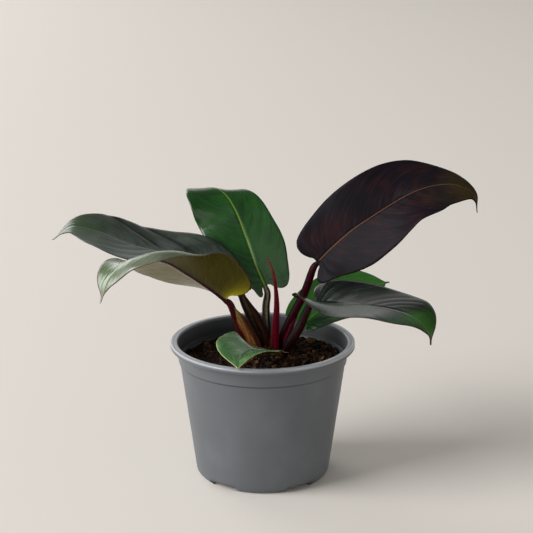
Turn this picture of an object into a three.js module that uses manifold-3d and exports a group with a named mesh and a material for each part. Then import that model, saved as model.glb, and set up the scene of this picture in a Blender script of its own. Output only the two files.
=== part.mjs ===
// A black cardinal philodendron growing in its grey nursery pot.
// Millimetres, +Z up. The origin is on the floor under the middle of the pot, and -Y is the plant's front.
import * as THREE from "three";
import { mergeVertices } from "three/addons/utils/BufferGeometryUtils.js";
import Module from "manifold-3d";

const wasm = await Module();
wasm.setup();

// Clearance between pieces that touch
const GAP = 0.35;

// Pot: a 17 cm nursery pot, injection moulded, with a rolled rim, a collar below it and a step below that
const POT = {
  height: 128,
  rimRadius: 85,
  mouthRadius: 78.5,
  rimDepth: 5,
  rimCorner: 1.2,
  collarTopRadius: 79.4,
  collarFootRadius: 77.4,
  stepHeight: 109,
  stepSlope: 0.8,
  bodyTopRadius: 76.3,
  bodyFootRadius: 62.2,
  footHeight: 8.5,
  footBulge: 1,
  baseRadius: 57,
  bevelRun: 2.6,
  bevelRise: 1.3,
  ledgeRadius: 76.5,
  ledgeHeight: 112.5,
  ledgeSlope: 1,
  innerFootHeight: 9.5,
  wall: 1.6,
  floor: 2.4,
  sides: 64,
  colour: 0x6a6b6e,
};

// Drain pockets: recesses round the edge of the base that open to the side as short notches
const POCKET = {
  count: 5,
  firstAngle: 16.5,
  spread: 28,
  inner: 45,
  outer: 72,
  height: 5,
  roof: 1.8,
  side: 1.6,
  holeRadius: 4,
  holeSides: 16,
};

// Soil: loose potting mix, filled to just below the pot's ledge and heaped a little round the crown
const SOIL = { edge: 110, heap: 5, heapRadius: 32, bottom: 2.8, rings: 10, sides: 48, colour: 0x2a1d14 };
const LUMPS = [
  { size: 40, height: 1.5 },
  { size: 13, height: 0.9 },
];

// Crown: the short stem that every leaf grows from
const CROWN = {
  x: 11,
  y: 16,
  bottom: 88,
  footRadius: 10,
  middle: 99.5,
  middleRadius: 17,
  shoulder: 111,
  shoulderRadius: 12,
  head: 116,
  headRadius: 7,
  top: 118,
  sides: 20,
  colour: 0x3a2018,
};

// Blade: an oblong leaf with a heart-shaped base and a drip tip. Each line follows one side vein and
// gives where it leaves the midrib and where it meets the margin, as parts of the blade's length, how
// far out that is, as a part of the half width, and how late it bends. The heart's two lobes reach back
// past the stalk.
const VEINS = [
  [0.0, -0.03, 0.22, 4],
  [0.005, -0.06, 0.36, 3],
  [0.015, -0.07, 0.5, 2.4],
  [0.035, -0.05, 0.66, 2],
  [0.08, 0.03, 0.82, 1.8],
  [0.17, 0.16, 0.93, 1.8],
  [0.28, 0.31, 0.99, 1.8],
  [0.4, 0.46, 1.0, 1.8],
  [0.51, 0.6, 0.93, 1.8],
  [0.62, 0.73, 0.76, 1.8],
  [0.74, 0.83, 0.5, 1.8],
  [0.85, 0.91, 0.22, 1.8],
  [0.93, 0.955, 0.05, 1.8],
  [1.0, 1.0, 0.02, 1.8],
];
const BLADE = { thickness: 0.9, rows: 26, columns: [-1, -0.7, -0.4, -0.12, 0, 0.12, 0.4, 0.7, 1] };
const MIDRIB = { depth: 2.4, halfWidth: 3 };

// Part of a wave by which the left margin's waves run ahead of the right margin's
const RIPPLE_SHIFT = 0.4;

// Stalk: round, with a groove down the side that faces its leaf's upper side
const STALK = { sides: 10, steps: 12, groove: 0.35, grooveSharpness: 6 };

// A stalk stops a gap short of its blade and a little below the blade's middle. Over its neck it turns
// most of the way into line with the midrib, and it stands clear in the notch of the heart.
const JOINT = { gap: 1.1, drop: 1.1, neck: 7, neckTurn: 2, clear: 5 };

const ROUGHNESS = { blade: 0.35, stalk: 0.45, sheath: 0.6, newLeaf: 0.4, crown: 0.7, soil: 0.95, pot: 0.5 };

// Leaves. rib: points of the midrib from the stalk to the tip, each with the way the upper side faces
// there. The lists of widths, rises and curls run in even steps from base to tip: the width of each
// half, how many degrees it rises from the midrib, and how much further it curls on its way to the
// margin. heart: depth of the left and of the right lobe, as multiples. ripple: height, number and start
// of the waves along the margins. stalk and radii: the stalk's route and its thickness. groove: the way
// its groove faces.
const LEAVES = {
  far_left: {
    rib: [
      [-24, 19, 172.5, 0.4, -0.5, 0.8],
      [-40, 22, 190, 0.3, -0.4, 0.9],
      [-67, 26, 201, 0.1, -0.3, 1],
      [-97, 30, 205, 0, -0.3, 1],
      [-124, 34, 211, 0, -0.3, 1],
      [-151, 39, 221, 0, -0.3, 1],
      [-176, 44, 225, -0.3, -0.3, 1],
      [-196, 46, 211, -0.7, -0.2, 0.7],
    ],
    heart: [0.8, 0.8],
    leftWidth: [24, 34, 37, 37, 36, 34],
    leftRise: [45, 25, 12, 8, 4, 0],
    leftCurl: [0, 0, 0, 0, 0, 0],
    rightWidth: [26, 36, 38, 37, 38, 38],
    rightRise: [15, 12, 0, 0, 0, 0],
    rightCurl: [-60, -25, 0, 0, 0, 0],
    ripple: { height: 2, waves: 1.5, start: 0 },
    stalk: [[4, 20, 98], [0, 21, 119], [-7, 21, 136], [-15, 19, 153.5]],
    radii: [4, 4.4, 4.2, 3.6, 2.6],
    groove: [0.2, -0.9, 0.3],
    colour: 0x2b3a2f,
    stalkColour: 0x1c1413,
  },
  front_left: {
    rib: [
      [-34, -6, 169, 0, 0.85, 0.53],
      [-51, -12, 184, 0, 0.85, 0.53],
      [-69, -18, 198, 0, 0.8, 0.6],
      [-86, -24, 210, -0.1, 0.6, 0.8],
      [-105, -30, 215, -0.2, 0.25, 1],
      [-124, -36, 213, -0.4, -0.3, 0.9],
      [-138, -41, 198, -0.45, -0.8, 0.4],
      [-145, -43, 177, -0.4, -0.9, 0.2],
    ],
    heart: [1, 1],
    leftWidth: [40, 40, 36, 34, 25, 14],
    leftRise: [20, 20, 35, 40, 25, 5],
    leftCurl: [0, -15, -95, -100, -40, 0],
    rightWidth: [38, 37, 37, 37, 37, 38],
    rightRise: [50, 30, 8, -22, -15, -5],
    rightCurl: [0, 0, 0, 0, 0, 0],
    ripple: { height: 1.5, waves: 1.5, start: 0.3 },
    stalk: [[-5, 9, 98], [-13, 7, 120], [-22, 3, 141]],
    radii: [4.2, 4, 3.7, 3.2, 2.6],
    groove: [0.8, -0.4, 0.4],
    colour: 0x4a4a26,
    stalkColour: 0x4a1820,
  },
  centre: {
    rib: [
      [2, 40, 168, 0, -0.9, 0.4],
      [-7, 48, 187, 0, -0.9, 0.4],
      [-16, 60, 210, -0.1, -0.85, 0.5],
      [-25, 72, 231, -0.15, -0.8, 0.6],
      [-35, 85, 244, -0.1, -0.45, 0.9],
      [-46, 101, 247, 0, 0.1, 1],
      [-54, 118, 241, 0.1, 0.4, 0.9],
      [-57, 134, 228, 0, 0.6, 0.7],
    ],
    heart: [0.8, 0.8],
    leftWidth: [15, 33, 37, 40, 42, 38],
    leftRise: [15, 10, 0, -8, -10, -4],
    leftCurl: [0, 0, 0, 0, 0, 0],
    rightWidth: [33, 35, 29, 24, 22, 24],
    rightRise: [12, 10, 0, -12, -15, -10],
    rightCurl: [0, 0, 0, 0, 0, 0],
    ripple: { height: 1.5, waves: 1.5, start: 0.6 },
    stalk: [[7, 29, 98], [4, 34, 124], [3, 38, 147]],
    radii: [4, 3.8, 3.4, 2.6],
    groove: [0, -1, 0.1],
    colour: 0x1f4a26,
    stalkColour: 0x2c2018,
  },
  high_right: {
    rib: [
      [50, 2, 202, -0.3, -0.7, 0.6],
      [63, 2, 216, -0.3, -0.8, 0.5],
      [81, 0, 233, -0.3, -0.8, 0.5],
      [101, -3, 248, -0.3, -0.75, 0.6],
      [121, -6, 262, -0.3, -0.7, 0.7],
      [138, -9, 272, -0.2, -0.6, 0.8],
      [156, -12, 278, 0, -0.5, 0.85],
      [173, -16, 279, 0.3, -0.5, 0.8],
      [189, -19, 271, 0.7, -0.5, 0.5],
      [192, -21, 255, 0.9, -0.4, 0.2],
    ],
    heart: [0.4, 0.8],
    leftWidth: [37, 39, 38, 38, 28, 14],
    leftRise: [15, 10, 20, 10, -5, 0],
    leftCurl: [0, 0, 0, 0, -10, 0],
    rightWidth: [32, 41, 40, 37, 40, 38],
    rightRise: [5, 5, 5, 0, -10, 0],
    rightCurl: [0, 0, 0, 0, 0, 0],
    ripple: { height: 2, waves: 2, start: 0.1 },
    stalk: [[17, 24, 98], [17, 16, 121], [26, 12, 145], [38, 7, 171]],
    radii: [4, 4, 3.9, 3.6, 2.6],
    groove: [-0.8, -0.3, 0.5],
    colour: 0x2a1f20,
    stalkColour: 0x1e1216,
  },
  low_right: {
    rib: [
      [48, -2, 164, 0, -0.3, 1],
      [70, -22, 170, -0.1, -0.3, 1],
      [96, -50, 177, 0, -0.3, 1],
      [121, -76, 180, 0.1, -0.3, 1],
      [137, -92, 177, 0.4, -0.5, 0.8],
      [145, -101, 168, 0.7, -0.6, 0.4],
      [146, -103, 158, 0.8, -0.6, 0.2],
    ],
    heart: [1, 1],
    leftWidth: [36, 34, 34, 34, 38, 44],
    leftRise: [25, 8, 0, 2, 5, 5],
    leftCurl: [0, 0, 0, 0, 0, 0],
    rightWidth: [36, 34, 34, 33, 32, 32],
    rightRise: [45, 20, 6, 4, 0, 5],
    rightCurl: [0, 0, 0, 0, 0, 0],
    ripple: { height: 1.5, waves: 1.5, start: 0.4 },
    stalk: [[18, 10, 98], [21, 4, 117], [33, 1, 138]],
    radii: [4, 4.2, 4.2, 3.6, 2.6],
    groove: [-0.6, -0.3, 0.7],
    colour: 0x27332c,
    stalkColour: 0x1b1a16,
  },
  back_right: {
    rib: [
      [38, 32, 133, -0.2, -0.6, 0.8],
      [51, 42, 141, -0.2, -0.6, 0.8],
      [68, 57, 146, -0.2, -0.5, 0.9],
      [88, 74, 150, -0.1, -0.5, 0.9],
      [107, 88, 154, 0, -0.4, 0.9],
      [122, 98, 154, 0.2, -0.2, 0.9],
    ],
    heart: [1, 1],
    leftWidth: [29, 29, 29, 31, 34, 36],
    leftRise: [30, 30, 28, 25, 20, 10],
    leftCurl: [0, 0, 0, 0, 0, 0],
    rightWidth: [31, 31, 31, 30, 29, 29],
    rightRise: [25, 15, 5, 5, 5, 5],
    rightCurl: [0, 0, 0, 0, 0, 0],
    ripple: { height: 1.5, waves: 1.5, start: 0.2 },
    stalk: [[25, 24, 98], [28, 26, 117]],
    radii: [3.8, 3.4, 2.6],
    groove: [-0.5, -0.3, 0.8],
    colour: 0x2c7a26,
    stalkColour: 0x3a2a20,
  },
  front_small: {
    rib: [
      [11, -11, 120.5, 0, 0.1, 1],
      [2, -20, 124.5, 0, 0.1, 1],
      [-7, -33, 128.5, 0, 0.1, 1],
      [-15, -49, 131.5, 0, 0, 1],
      [-20, -67, 132.5, 0.1, -0.3, 0.9],
      [-22, -87, 129, 0.1, -0.5, 0.8],
    ],
    heart: [1, 1],
    leftWidth: [20, 24, 24, 18, 14, 10],
    leftRise: [5, 8, 12, 18, 22, 10],
    leftCurl: [0, 0, -10, -10, 0, 0],
    rightWidth: [14, 19, 24, 28, 34, 12],
    rightRise: [0, 10, 42, 36, 14, 5],
    rightCurl: [0, 0, 0, 0, 0, 0],
    ripple: { height: 0.6, waves: 1.5, start: 0 },
    stalk: [[12, 2, 98], [14, -6, 110]],
    radii: [3.2, 2.8, 2.2],
    groove: [-0.5, -0.5, 0.7],
    colour: 0x2f6b34,
    stalkColour: 0x4a3a1c,
  },
};

// Sheaths: the leaf-base wings that still wrap the side of some stalks, and an old scale leaf at the crown
const SHEATHS = {
  front_left: {
    route: [[-2, 8, 100], [-7, 6, 120], [-14, 3, 135], [-21, 0, 149], [-29, -4.5, 162]],
    radii: [4, 5.2, 5, 4, 1.4],
    colour: 0x8a5a30,
  },
  far_left: {
    route: [[6, 20, 100], [5, 20, 119], [-4, 20, 141], [-16, 18, 163]],
    radii: [3.6, 4, 3.8, 1.2],
    colour: 0x3c1a1c,
  },
  high_right: {
    route: [[21, 20, 100], [21, 13, 121], [26, 11, 137], [32, 10, 151]],
    radii: [2.6, 2.8, 2.4, 1],
    colour: 0x7c1030,
  },
  crown: {
    route: [[8, 11, 100], [8, 11, 118], [8.5, 11, 127], [9, 11, 136]],
    radii: [2.6, 2.6, 1.8, 0.5],
    colour: 0x4a1418,
  },
};

// New leaf: the next leaf, still rolled up in its red sheath
const NEW_LEAF = {
  route: [
    [13, 15, 96],
    [12.3, 11, 120],
    [12.3, 10, 140],
    [12.8, 11, 158],
    [12, 12, 173.5],
    [9.8, 14, 188],
    [4.4, 16, 202.5],
  ],
  radii: [3, 2.9, 3, 2.4, 1.7, 1.3, 0.5],
  sides: 8,
  steps: 16,
  colour: 0x8c1128,
};

const vector = (list) => new THREE.Vector3(list[0], list[1], list[2]);

// Smooth value at `where` (0 to 1) through evenly spaced numbers: a Catmull-Rom curve, straight at its ends
function through(list, where) {
  const last = list.length - 1;
  const at = THREE.MathUtils.clamp(where, 0, 1) * last;
  const i = Math.min(Math.floor(at), last - 1);
  const f = at - i;
  const b = list[i];
  const c = list[i + 1];
  const a = i > 0 ? list[i - 1] : 2 * b - c;
  const d = i + 2 <= last ? list[i + 2] : 2 * c - b;
  return b + 0.5 * f * (c - a + f * (2 * a - 5 * b + 4 * c - d + f * (3 * (b - c) + d - a)));
}

function pointThrough(points, where) {
  return new THREE.Vector3(...[0, 1, 2].map((k) => through(points.map((p) => p[k]), where)));
}

function headingThrough(points, where) {
  const step = 0.01;
  const behind = pointThrough(points, Math.max(where - step, 0));
  return pointThrough(points, Math.min(where + step, 1)).sub(behind).normalize();
}

// Midrib as a function of the part of its length: its place there, the way it runs, the way its upper
// side faces and the way across. Behind its start it runs straight on.
function spine(rib) {
  const steps = 120;
  const lengths = [0];
  for (let i = 1; i <= steps; i++) {
    const step = pointThrough(rib, i / steps).distanceTo(pointThrough(rib, (i - 1) / steps));
    lengths.push(lengths[i - 1] + step);
  }
  const length = lengths[steps];
  return (part) => {
    const wanted = THREE.MathUtils.clamp(part, 0, 1) * length;
    let i = 1;
    while (i < steps && lengths[i] < wanted) i++;
    const where = (i - 1 + (wanted - lengths[i - 1]) / (lengths[i] - lengths[i - 1])) / steps;
    const place = pointThrough(rib, where);
    const along = headingThrough(rib, where);
    if (part < 0) place.addScaledVector(along, part * length);
    const facing = pointThrough(rib.map((p) => p.slice(3)), where);
    facing.addScaledVector(along, -facing.dot(along)).normalize();
    return { place, along, facing, across: along.clone().cross(facing) };
  };
}

// Point of a blade's middle surface on one side vein, `out` from -1 (left margin) to 1 (right margin)
function bladePoint(leaf, rib, vein, out) {
  const side = Math.abs(out);
  const [from, to, wide, bend] = [0, 1, 2, 3].map((k) => through(VEINS.map((v) => v[k]), vein));
  const [width, rise, curl] = out < 0
    ? [leaf.leftWidth, leaf.leftRise, leaf.leftCurl]
    : [leaf.rightWidth, leaf.rightRise, leaf.rightCurl];
  const heart = leaf.heart[out < 0 ? 0 : 1];
  const part = THREE.MathUtils.lerp(from, Math.min(to, 0) * heart + Math.max(to, 0), side ** bend);
  const reach = wide * side;
  const spread = Math.max(wide * through(width, to), to < 0 ? JOINT.clear : 0) * side;
  const start = through(rise, part);
  const bent = through(curl, part) * reach;
  const angles = [start, start + bent / 2, start + bent].map(THREE.MathUtils.degToRad);
  const mean = (f) => (f(angles[0]) + 4 * f(angles[1]) + f(angles[2])) / 6;
  const { ripple } = leaf;
  const turn = ripple.waves * part + ripple.start + (out < 0 ? RIPPLE_SHIFT : 0);
  const wave = ripple.height * Math.sin(2 * Math.PI * turn) * reach * side;
  const { place, facing, across } = rib(part);
  const point = place.addScaledVector(across, Math.sign(out) * spread * mean(Math.cos));
  return { point: point.addScaledVector(facing, spread * mean(Math.sin) + wave), spread };
}

function indexed(points, index) {
  const geometry = new THREE.BufferGeometry();
  const numbers = points.flatMap((p) => p.toArray());
  geometry.setAttribute("position", new THREE.Float32BufferAttribute(numbers, 3));
  geometry.setIndex(index);
  return geometry;
}

// Blade solid: two faces a set distance apart, split into triangles alike, with the midrib raised below
function bladeGeometry(leaf) {
  const rib = spine(leaf.rib);
  const { rows, columns, thickness } = BLADE;
  const upper = [];
  const lower = [];
  const step = 0.004;
  const { clamp } = THREE.MathUtils;
  const at = (vein, out) => bladePoint(leaf, rib, clamp(vein, 0, 1), clamp(out, -1, 1)).point;
  for (let r = 0; r <= rows; r++) {
    const vein = r / rows;
    for (const out of columns) {
      const { point, spread } = bladePoint(leaf, rib, vein, out);
      const forward = at(vein + step, out).sub(at(vein - step, out));
      const outward = at(vein, out + step).sub(at(vein, out - step));
      const normal = outward.cross(forward).normalize();
      const bulge = MIDRIB.depth * (1 - vein) * Math.exp(-((spread / MIDRIB.halfWidth) ** 2));
      upper.push(point.clone().addScaledVector(normal, thickness / 2));
      lower.push(point.clone().addScaledVector(normal, -thickness / 2 - bulge));
    }
  }
  const n = columns.length;
  const under = upper.length;
  const index = [];
  const quad = (a, b, c, d) => index.push(a, b, c, a, c, d);
  for (let r = 0; r < rows; r++)
    for (let c = 0; c < n - 1; c++) {
      const a = r * n + c;
      const b = a + n;
      quad(a, a + 1, b + 1, b);
      index.push(under + a, under + b + 1, under + a + 1, under + a, under + b, under + b + 1);
    }
  for (let r = 0; r < rows; r++) {
    const a = r * n;
    const b = a + n;
    quad(a, b, under + b, under + a);
    quad(under + a + n - 1, under + b + n - 1, b + n - 1, a + n - 1);
  }
  for (let c = 0; c < n - 1; c++) {
    const tip = rows * n + c;
    quad(under + c, under + c + 1, c + 1, c);
    quad(tip, tip + 1, under + tip + 1, under + tip);
  }
  return indexed([...upper, ...lower], index);
}

// Stalk along a route, round or grooved on one side and closed at both ends; `grow` widens it all round
function stalkGeometry(route, radii, options = {}) {
  const plain = { sides: STALK.sides, steps: STALK.steps, groove: 0, facing: [0, -1, 0], grow: 0 };
  const { sides, steps, groove, facing, grow } = { ...plain, ...options };
  const points = [];
  const ends = [];
  const index = [];
  for (let s = 0; s <= steps; s++) {
    const where = s / steps;
    const middle = pointThrough(route, where);
    const along = headingThrough(route, where);
    const up = vector(facing);
    up.addScaledVector(along, -up.dot(along)).normalize();
    const right = along.clone().cross(up);
    const radius = through(radii, where);
    if (s === 0) middle.addScaledVector(along, -grow);
    if (s === steps) middle.addScaledVector(along, grow);
    for (let k = 0; k < sides; k++) {
      const angle = (2 * Math.PI * k) / sides;
      const hollow = groove * Math.max(0, Math.cos(angle)) ** STALK.grooveSharpness;
      const out = radius * (1 - hollow) + grow;
      const point = middle.clone().addScaledVector(up, out * Math.cos(angle));
      points.push(point.addScaledVector(right, out * Math.sin(angle)));
    }
    if (s === 0 || s === steps) ends.push(middle);
  }
  const base = points.length;
  const top = base + 1;
  const last = steps * sides;
  for (let k = 0; k < sides; k++) {
    const next = (k + 1) % sides;
    for (let s = 0; s < steps; s++) {
      const [a, b] = [s * sides + k, s * sides + next];
      index.push(a, b, b + sides, a, b + sides, a + sides);
    }
    index.push(base, next, k);
    index.push(top, last + k, last + next);
  }
  return indexed([...points, ...ends], index);
}

// A leaf's stalk, from the crown to just short of its blade
function leafStalk(leaf, grow = 0) {
  const { place, along, facing } = spine(leaf.rib)(0);
  const end = place.addScaledVector(facing, -JOINT.drop).addScaledVector(along, -JOINT.gap);
  const below = vector(leaf.stalk.at(-1)).sub(end).normalize();
  const neck = below.addScaledVector(along, -JOINT.neckTurn).setLength(JOINT.neck).add(end);
  const route = [...leaf.stalk, neck.toArray(), end.toArray()];
  return stalkGeometry(route, leaf.radii, { groove: STALK.groove, facing: leaf.groove, grow });
}

// Solid for joining and cutting
function solid(geometry) {
  const bare = geometry.clone();
  bare.deleteAttribute("normal");
  bare.deleteAttribute("uv");
  const merged = mergeVertices(bare, 1e-4);
  const vertProperties = merged.attributes.position.array;
  const triVerts = new Uint32Array(merged.index.array);
  const made = new wasm.Manifold(new wasm.Mesh({ numProp: 3, vertProperties, triVerts }));
  if (made.volume() < 0) throw new Error("a solid is inside out");
  return made;
}

// Geometry of a solid's largest body: what a cut leaves loose is dropped
function geometryOf(made) {
  const largest = made.decompose().sort((a, b) => b.volume() - a.volume())[0];
  const mesh = largest.getMesh();
  const geometry = new THREE.BufferGeometry();
  geometry.setAttribute("position", new THREE.BufferAttribute(mesh.vertProperties, 3));
  geometry.setIndex(new THREE.BufferAttribute(mesh.triVerts, 1));
  return geometry;
}

function cutBy(body, cutters) {
  return cutters.reduce((rest, cutter) => rest.subtract(cutter), body);
}

// Round wall turned from a profile of [radius, height] points, from the axis or closed on itself
function turned(profile, sides) {
  const lathe = new THREE.LatheGeometry(profile.map(([r, z]) => new THREE.Vector2(r, z)), sides);
  return lathe.rotateX(Math.PI / 2);
}

// Block between two radii and two heights, as wide as an angle
function sector(inner, outer, halfAngle, low, high) {
  const shape = new THREE.Shape();
  shape.absarc(0, 0, outer, -halfAngle, halfAngle, false);
  shape.absarc(0, 0, inner, halfAngle, -halfAngle, true);
  const options = { depth: high - low, bevelEnabled: false, curveSegments: 6 };
  return new THREE.ExtrudeGeometry(shape, options).translate(0, 0, low);
}

// Radius of the pot's outer wall below the step
function bodyRadius(z) {
  const rise = (z - POT.footHeight) / (POT.stepHeight - POT.footHeight);
  return THREE.MathUtils.lerp(POT.bodyFootRadius, POT.bodyTopRadius, rise);
}

function pocketBlocks(makeOne) {
  const blocks = [];
  for (let i = 0; i < POCKET.count; i++) {
    const angle = THREE.MathUtils.degToRad(POCKET.firstAngle + (360 / POCKET.count) * i);
    blocks.push(solid(makeOne().rotateZ(angle)));
  }
  return blocks;
}

// Roof over each drain pocket, inside the pot
function pocketRoofs(grow = 0) {
  const halfAngle = THREE.MathUtils.degToRad(POCKET.spread / 2) + (POCKET.side + grow) / POCKET.outer;
  const inner = POCKET.inner - POCKET.side;
  const outer = bodyRadius(POCKET.height) - POT.wall / 2;
  const top = POCKET.height + POCKET.roof + grow;
  return pocketBlocks(() => sector(inner - grow, outer + grow, halfAngle, POT.floor / 2, top));
}

function potGeometry() {
  const { wall, floor, rimRadius, mouthRadius, height, rimDepth, rimCorner, stepHeight, ledgeHeight } = POT;
  const profile = [
    [0, 0],
    [POT.baseRadius, 0],
    [POT.baseRadius + POT.bevelRun, POT.bevelRise],
    [POT.bodyFootRadius - POT.footBulge, POT.footHeight / 2],
    [POT.bodyFootRadius, POT.footHeight],
    [POT.bodyTopRadius, stepHeight],
    [POT.collarFootRadius, stepHeight + POT.stepSlope],
    [POT.collarTopRadius, height - rimDepth],
    [rimRadius - rimCorner, height - rimDepth],
    [rimRadius, height - rimDepth + rimCorner],
    [rimRadius, height - rimCorner],
    [rimRadius - rimCorner, height],
    [mouthRadius + rimCorner, height],
    [mouthRadius, height - rimCorner],
    [POT.ledgeRadius, ledgeHeight + POT.ledgeSlope],
    [bodyRadius(ledgeHeight) - wall, ledgeHeight],
    [POT.bodyFootRadius - wall, POT.innerFootHeight],
    [POT.baseRadius, floor],
    [0, floor],
  ];
  const shell = solid(turned(profile, POT.sides));
  const halfAngle = THREE.MathUtils.degToRad(POCKET.spread / 2);
  const past = 1;
  const hollows = pocketBlocks(() => sector(POCKET.inner, POCKET.outer, halfAngle, -past, POCKET.height));
  const { holeRadius, holeSides } = POCKET;
  const holeLength = 2 * (POCKET.height + past);
  const holePlace = (POCKET.inner + POT.bodyFootRadius) / 2;
  const holes = pocketBlocks(() => {
    const rod = new THREE.CylinderGeometry(holeRadius, holeRadius, holeLength, holeSides);
    return rod.rotateX(Math.PI / 2).translate(holePlace, 0, POCKET.height);
  });
  const roofed = pocketRoofs().reduce((pot, roof) => pot.add(roof), shell);
  return geometryOf(cutBy(roofed, [...hollows, ...holes]));
}

const wave = (along, length) => Math.sin((2 * Math.PI * along) / length);

// Height of the soil's top: a heap round the crown, and lumps from crossed waves that each bend the other
function soilTop(x, y) {
  const away = Math.hypot(x - CROWN.x, y - CROWN.y);
  const heap = SOIL.heap * Math.exp(-((away / SOIL.heapRadius) ** 2));
  return LUMPS.reduce((top, { size, height }) => {
    const bent = size / 5;
    const acrossX = wave(x + bent * wave(y, 1.5 * size), size);
    const acrossY = wave(y + bent * wave(x, 1.3 * size), size);
    return top + height * acrossX * acrossY;
  }, SOIL.edge + heap);
}

function soilGeometry(cutters) {
  const clear = POT.wall + GAP;
  const lowest = LUMPS.reduce((top, { height }) => top - height, SOIL.edge);
  const topRadius = bodyRadius(lowest) - clear;
  const points = [new THREE.Vector3(0, 0, soilTop(0, 0))];
  const index = [];
  const ring = (radius, heightAt) => {
    for (let k = 0; k < SOIL.sides; k++) {
      const angle = (2 * Math.PI * k) / SOIL.sides;
      const [x, y] = [radius * Math.cos(angle), radius * Math.sin(angle)];
      points.push(new THREE.Vector3(x, y, heightAt(x, y)));
    }
  };
  for (let r = 1; r <= SOIL.rings; r++) ring((topRadius * r) / SOIL.rings, soilTop);
  ring(POT.bodyFootRadius - clear, () => POT.innerFootHeight);
  ring(POT.baseRadius - GAP, () => SOIL.bottom);
  const rings = SOIL.rings + 2;
  const at = (r, k) => 1 + (r - 1) * SOIL.sides + (k % SOIL.sides);
  const bottom = points.length;
  points.push(new THREE.Vector3(0, 0, SOIL.bottom));
  for (let k = 0; k < SOIL.sides; k++) {
    index.push(0, at(1, k), at(1, k + 1));
    for (let r = 1; r < rings; r++) {
      index.push(at(r, k), at(r + 1, k), at(r + 1, k + 1));
      index.push(at(r, k), at(r + 1, k + 1), at(r, k + 1));
    }
    index.push(bottom, at(rings, k + 1), at(rings, k));
  }
  return geometryOf(cutBy(solid(indexed(points, index)), cutters));
}

// The crown, `grow` larger all round
function crownSolid(grow = 0) {
  const profile = [
    [0, CROWN.bottom - grow],
    [CROWN.footRadius + grow, CROWN.bottom - grow],
    [CROWN.middleRadius + grow, CROWN.middle],
    [CROWN.shoulderRadius + grow, CROWN.shoulder + grow],
    [CROWN.headRadius + grow, CROWN.head + grow],
    [0, CROWN.top + grow],
  ];
  return solid(turned(profile, CROWN.sides).translate(CROWN.x, CROWN.y, 0));
}

const group = new THREE.Group();
function add(name, geometry, color, roughness) {
  const mesh = new THREE.Mesh(geometry, new THREE.MeshStandardMaterial({ color, roughness, metalness: 0 }));
  mesh.name = name;
  group.add(mesh);
}

const sheathGeometry = (sheath, grow = 0) => stalkGeometry(sheath.route, sheath.radii, { grow });
function newLeafGeometry(grow = 0) {
  const { route, radii, sides, steps } = NEW_LEAF;
  return stalkGeometry(route, radii, { sides, steps, grow });
}

const stalkRoom = Object.values(LEAVES).map((leaf) => solid(leafStalk(leaf, GAP)));
const newLeafRoom = solid(newLeafGeometry(GAP));
const sheathRoom = Object.values(SHEATHS).map((sheath) => solid(sheathGeometry(sheath, GAP)));
const stems = [...stalkRoom, newLeafRoom, ...sheathRoom];

for (const [name, leaf] of Object.entries(LEAVES)) {
  add("blade_" + name, bladeGeometry(leaf), leaf.colour, ROUGHNESS.blade);
  add("stalk_" + name, leafStalk(leaf), leaf.stalkColour, ROUGHNESS.stalk);
}
for (const [name, sheath] of Object.entries(SHEATHS)) {
  const wrapped = cutBy(solid(sheathGeometry(sheath)), [...stalkRoom, newLeafRoom]);
  add("sheath_" + name, geometryOf(wrapped), sheath.colour, ROUGHNESS.sheath);
}
add("new_leaf", newLeafGeometry(), NEW_LEAF.colour, ROUGHNESS.newLeaf);
add("crown", geometryOf(cutBy(crownSolid(), stems)), CROWN.colour, ROUGHNESS.crown);
add("soil", soilGeometry([crownSolid(GAP), ...stems, ...pocketRoofs(GAP)]), SOIL.colour, ROUGHNESS.soil);
add("pot", potGeometry(), POT.colour, ROUGHNESS.pot);

export default group;
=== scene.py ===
import math
import random

import bmesh
import bpy
import numpy as np
from mathutils import Color, Matrix, Vector, noise


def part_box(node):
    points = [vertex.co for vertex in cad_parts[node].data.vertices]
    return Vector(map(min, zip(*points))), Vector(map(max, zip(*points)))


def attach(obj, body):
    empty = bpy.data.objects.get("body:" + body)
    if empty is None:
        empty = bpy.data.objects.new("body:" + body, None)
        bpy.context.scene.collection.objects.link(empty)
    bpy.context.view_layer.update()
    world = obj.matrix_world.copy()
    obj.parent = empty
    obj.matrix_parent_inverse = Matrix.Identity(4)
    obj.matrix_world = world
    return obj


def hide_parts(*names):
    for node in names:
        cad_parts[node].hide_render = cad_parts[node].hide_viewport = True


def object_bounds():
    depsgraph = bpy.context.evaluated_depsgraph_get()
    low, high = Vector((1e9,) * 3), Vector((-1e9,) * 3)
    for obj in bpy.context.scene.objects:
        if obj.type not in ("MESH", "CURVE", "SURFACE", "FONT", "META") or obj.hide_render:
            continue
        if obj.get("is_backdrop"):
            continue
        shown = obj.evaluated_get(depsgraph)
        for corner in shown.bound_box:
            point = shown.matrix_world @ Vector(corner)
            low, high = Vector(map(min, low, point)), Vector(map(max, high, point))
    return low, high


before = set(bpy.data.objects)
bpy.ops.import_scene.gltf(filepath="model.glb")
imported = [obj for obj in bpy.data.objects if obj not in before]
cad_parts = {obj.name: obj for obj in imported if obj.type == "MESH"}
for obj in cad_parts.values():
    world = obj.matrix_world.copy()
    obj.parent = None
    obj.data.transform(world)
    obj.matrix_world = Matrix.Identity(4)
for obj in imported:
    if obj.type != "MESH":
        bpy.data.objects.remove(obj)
cad_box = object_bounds()

# Camera
# It looks at the front of the plant through a long lens, from a little above, as in the photograph.
# The lens follows from its focal length in pixels of the square picture.
PICTURE = 533
FOCAL_LENGTH = 2000
SENSOR = 36
CAMERA_PLACE = (0.0035, -1.748, 0.7161)
LOOKING_DOWN = math.radians(16.49)

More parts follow.
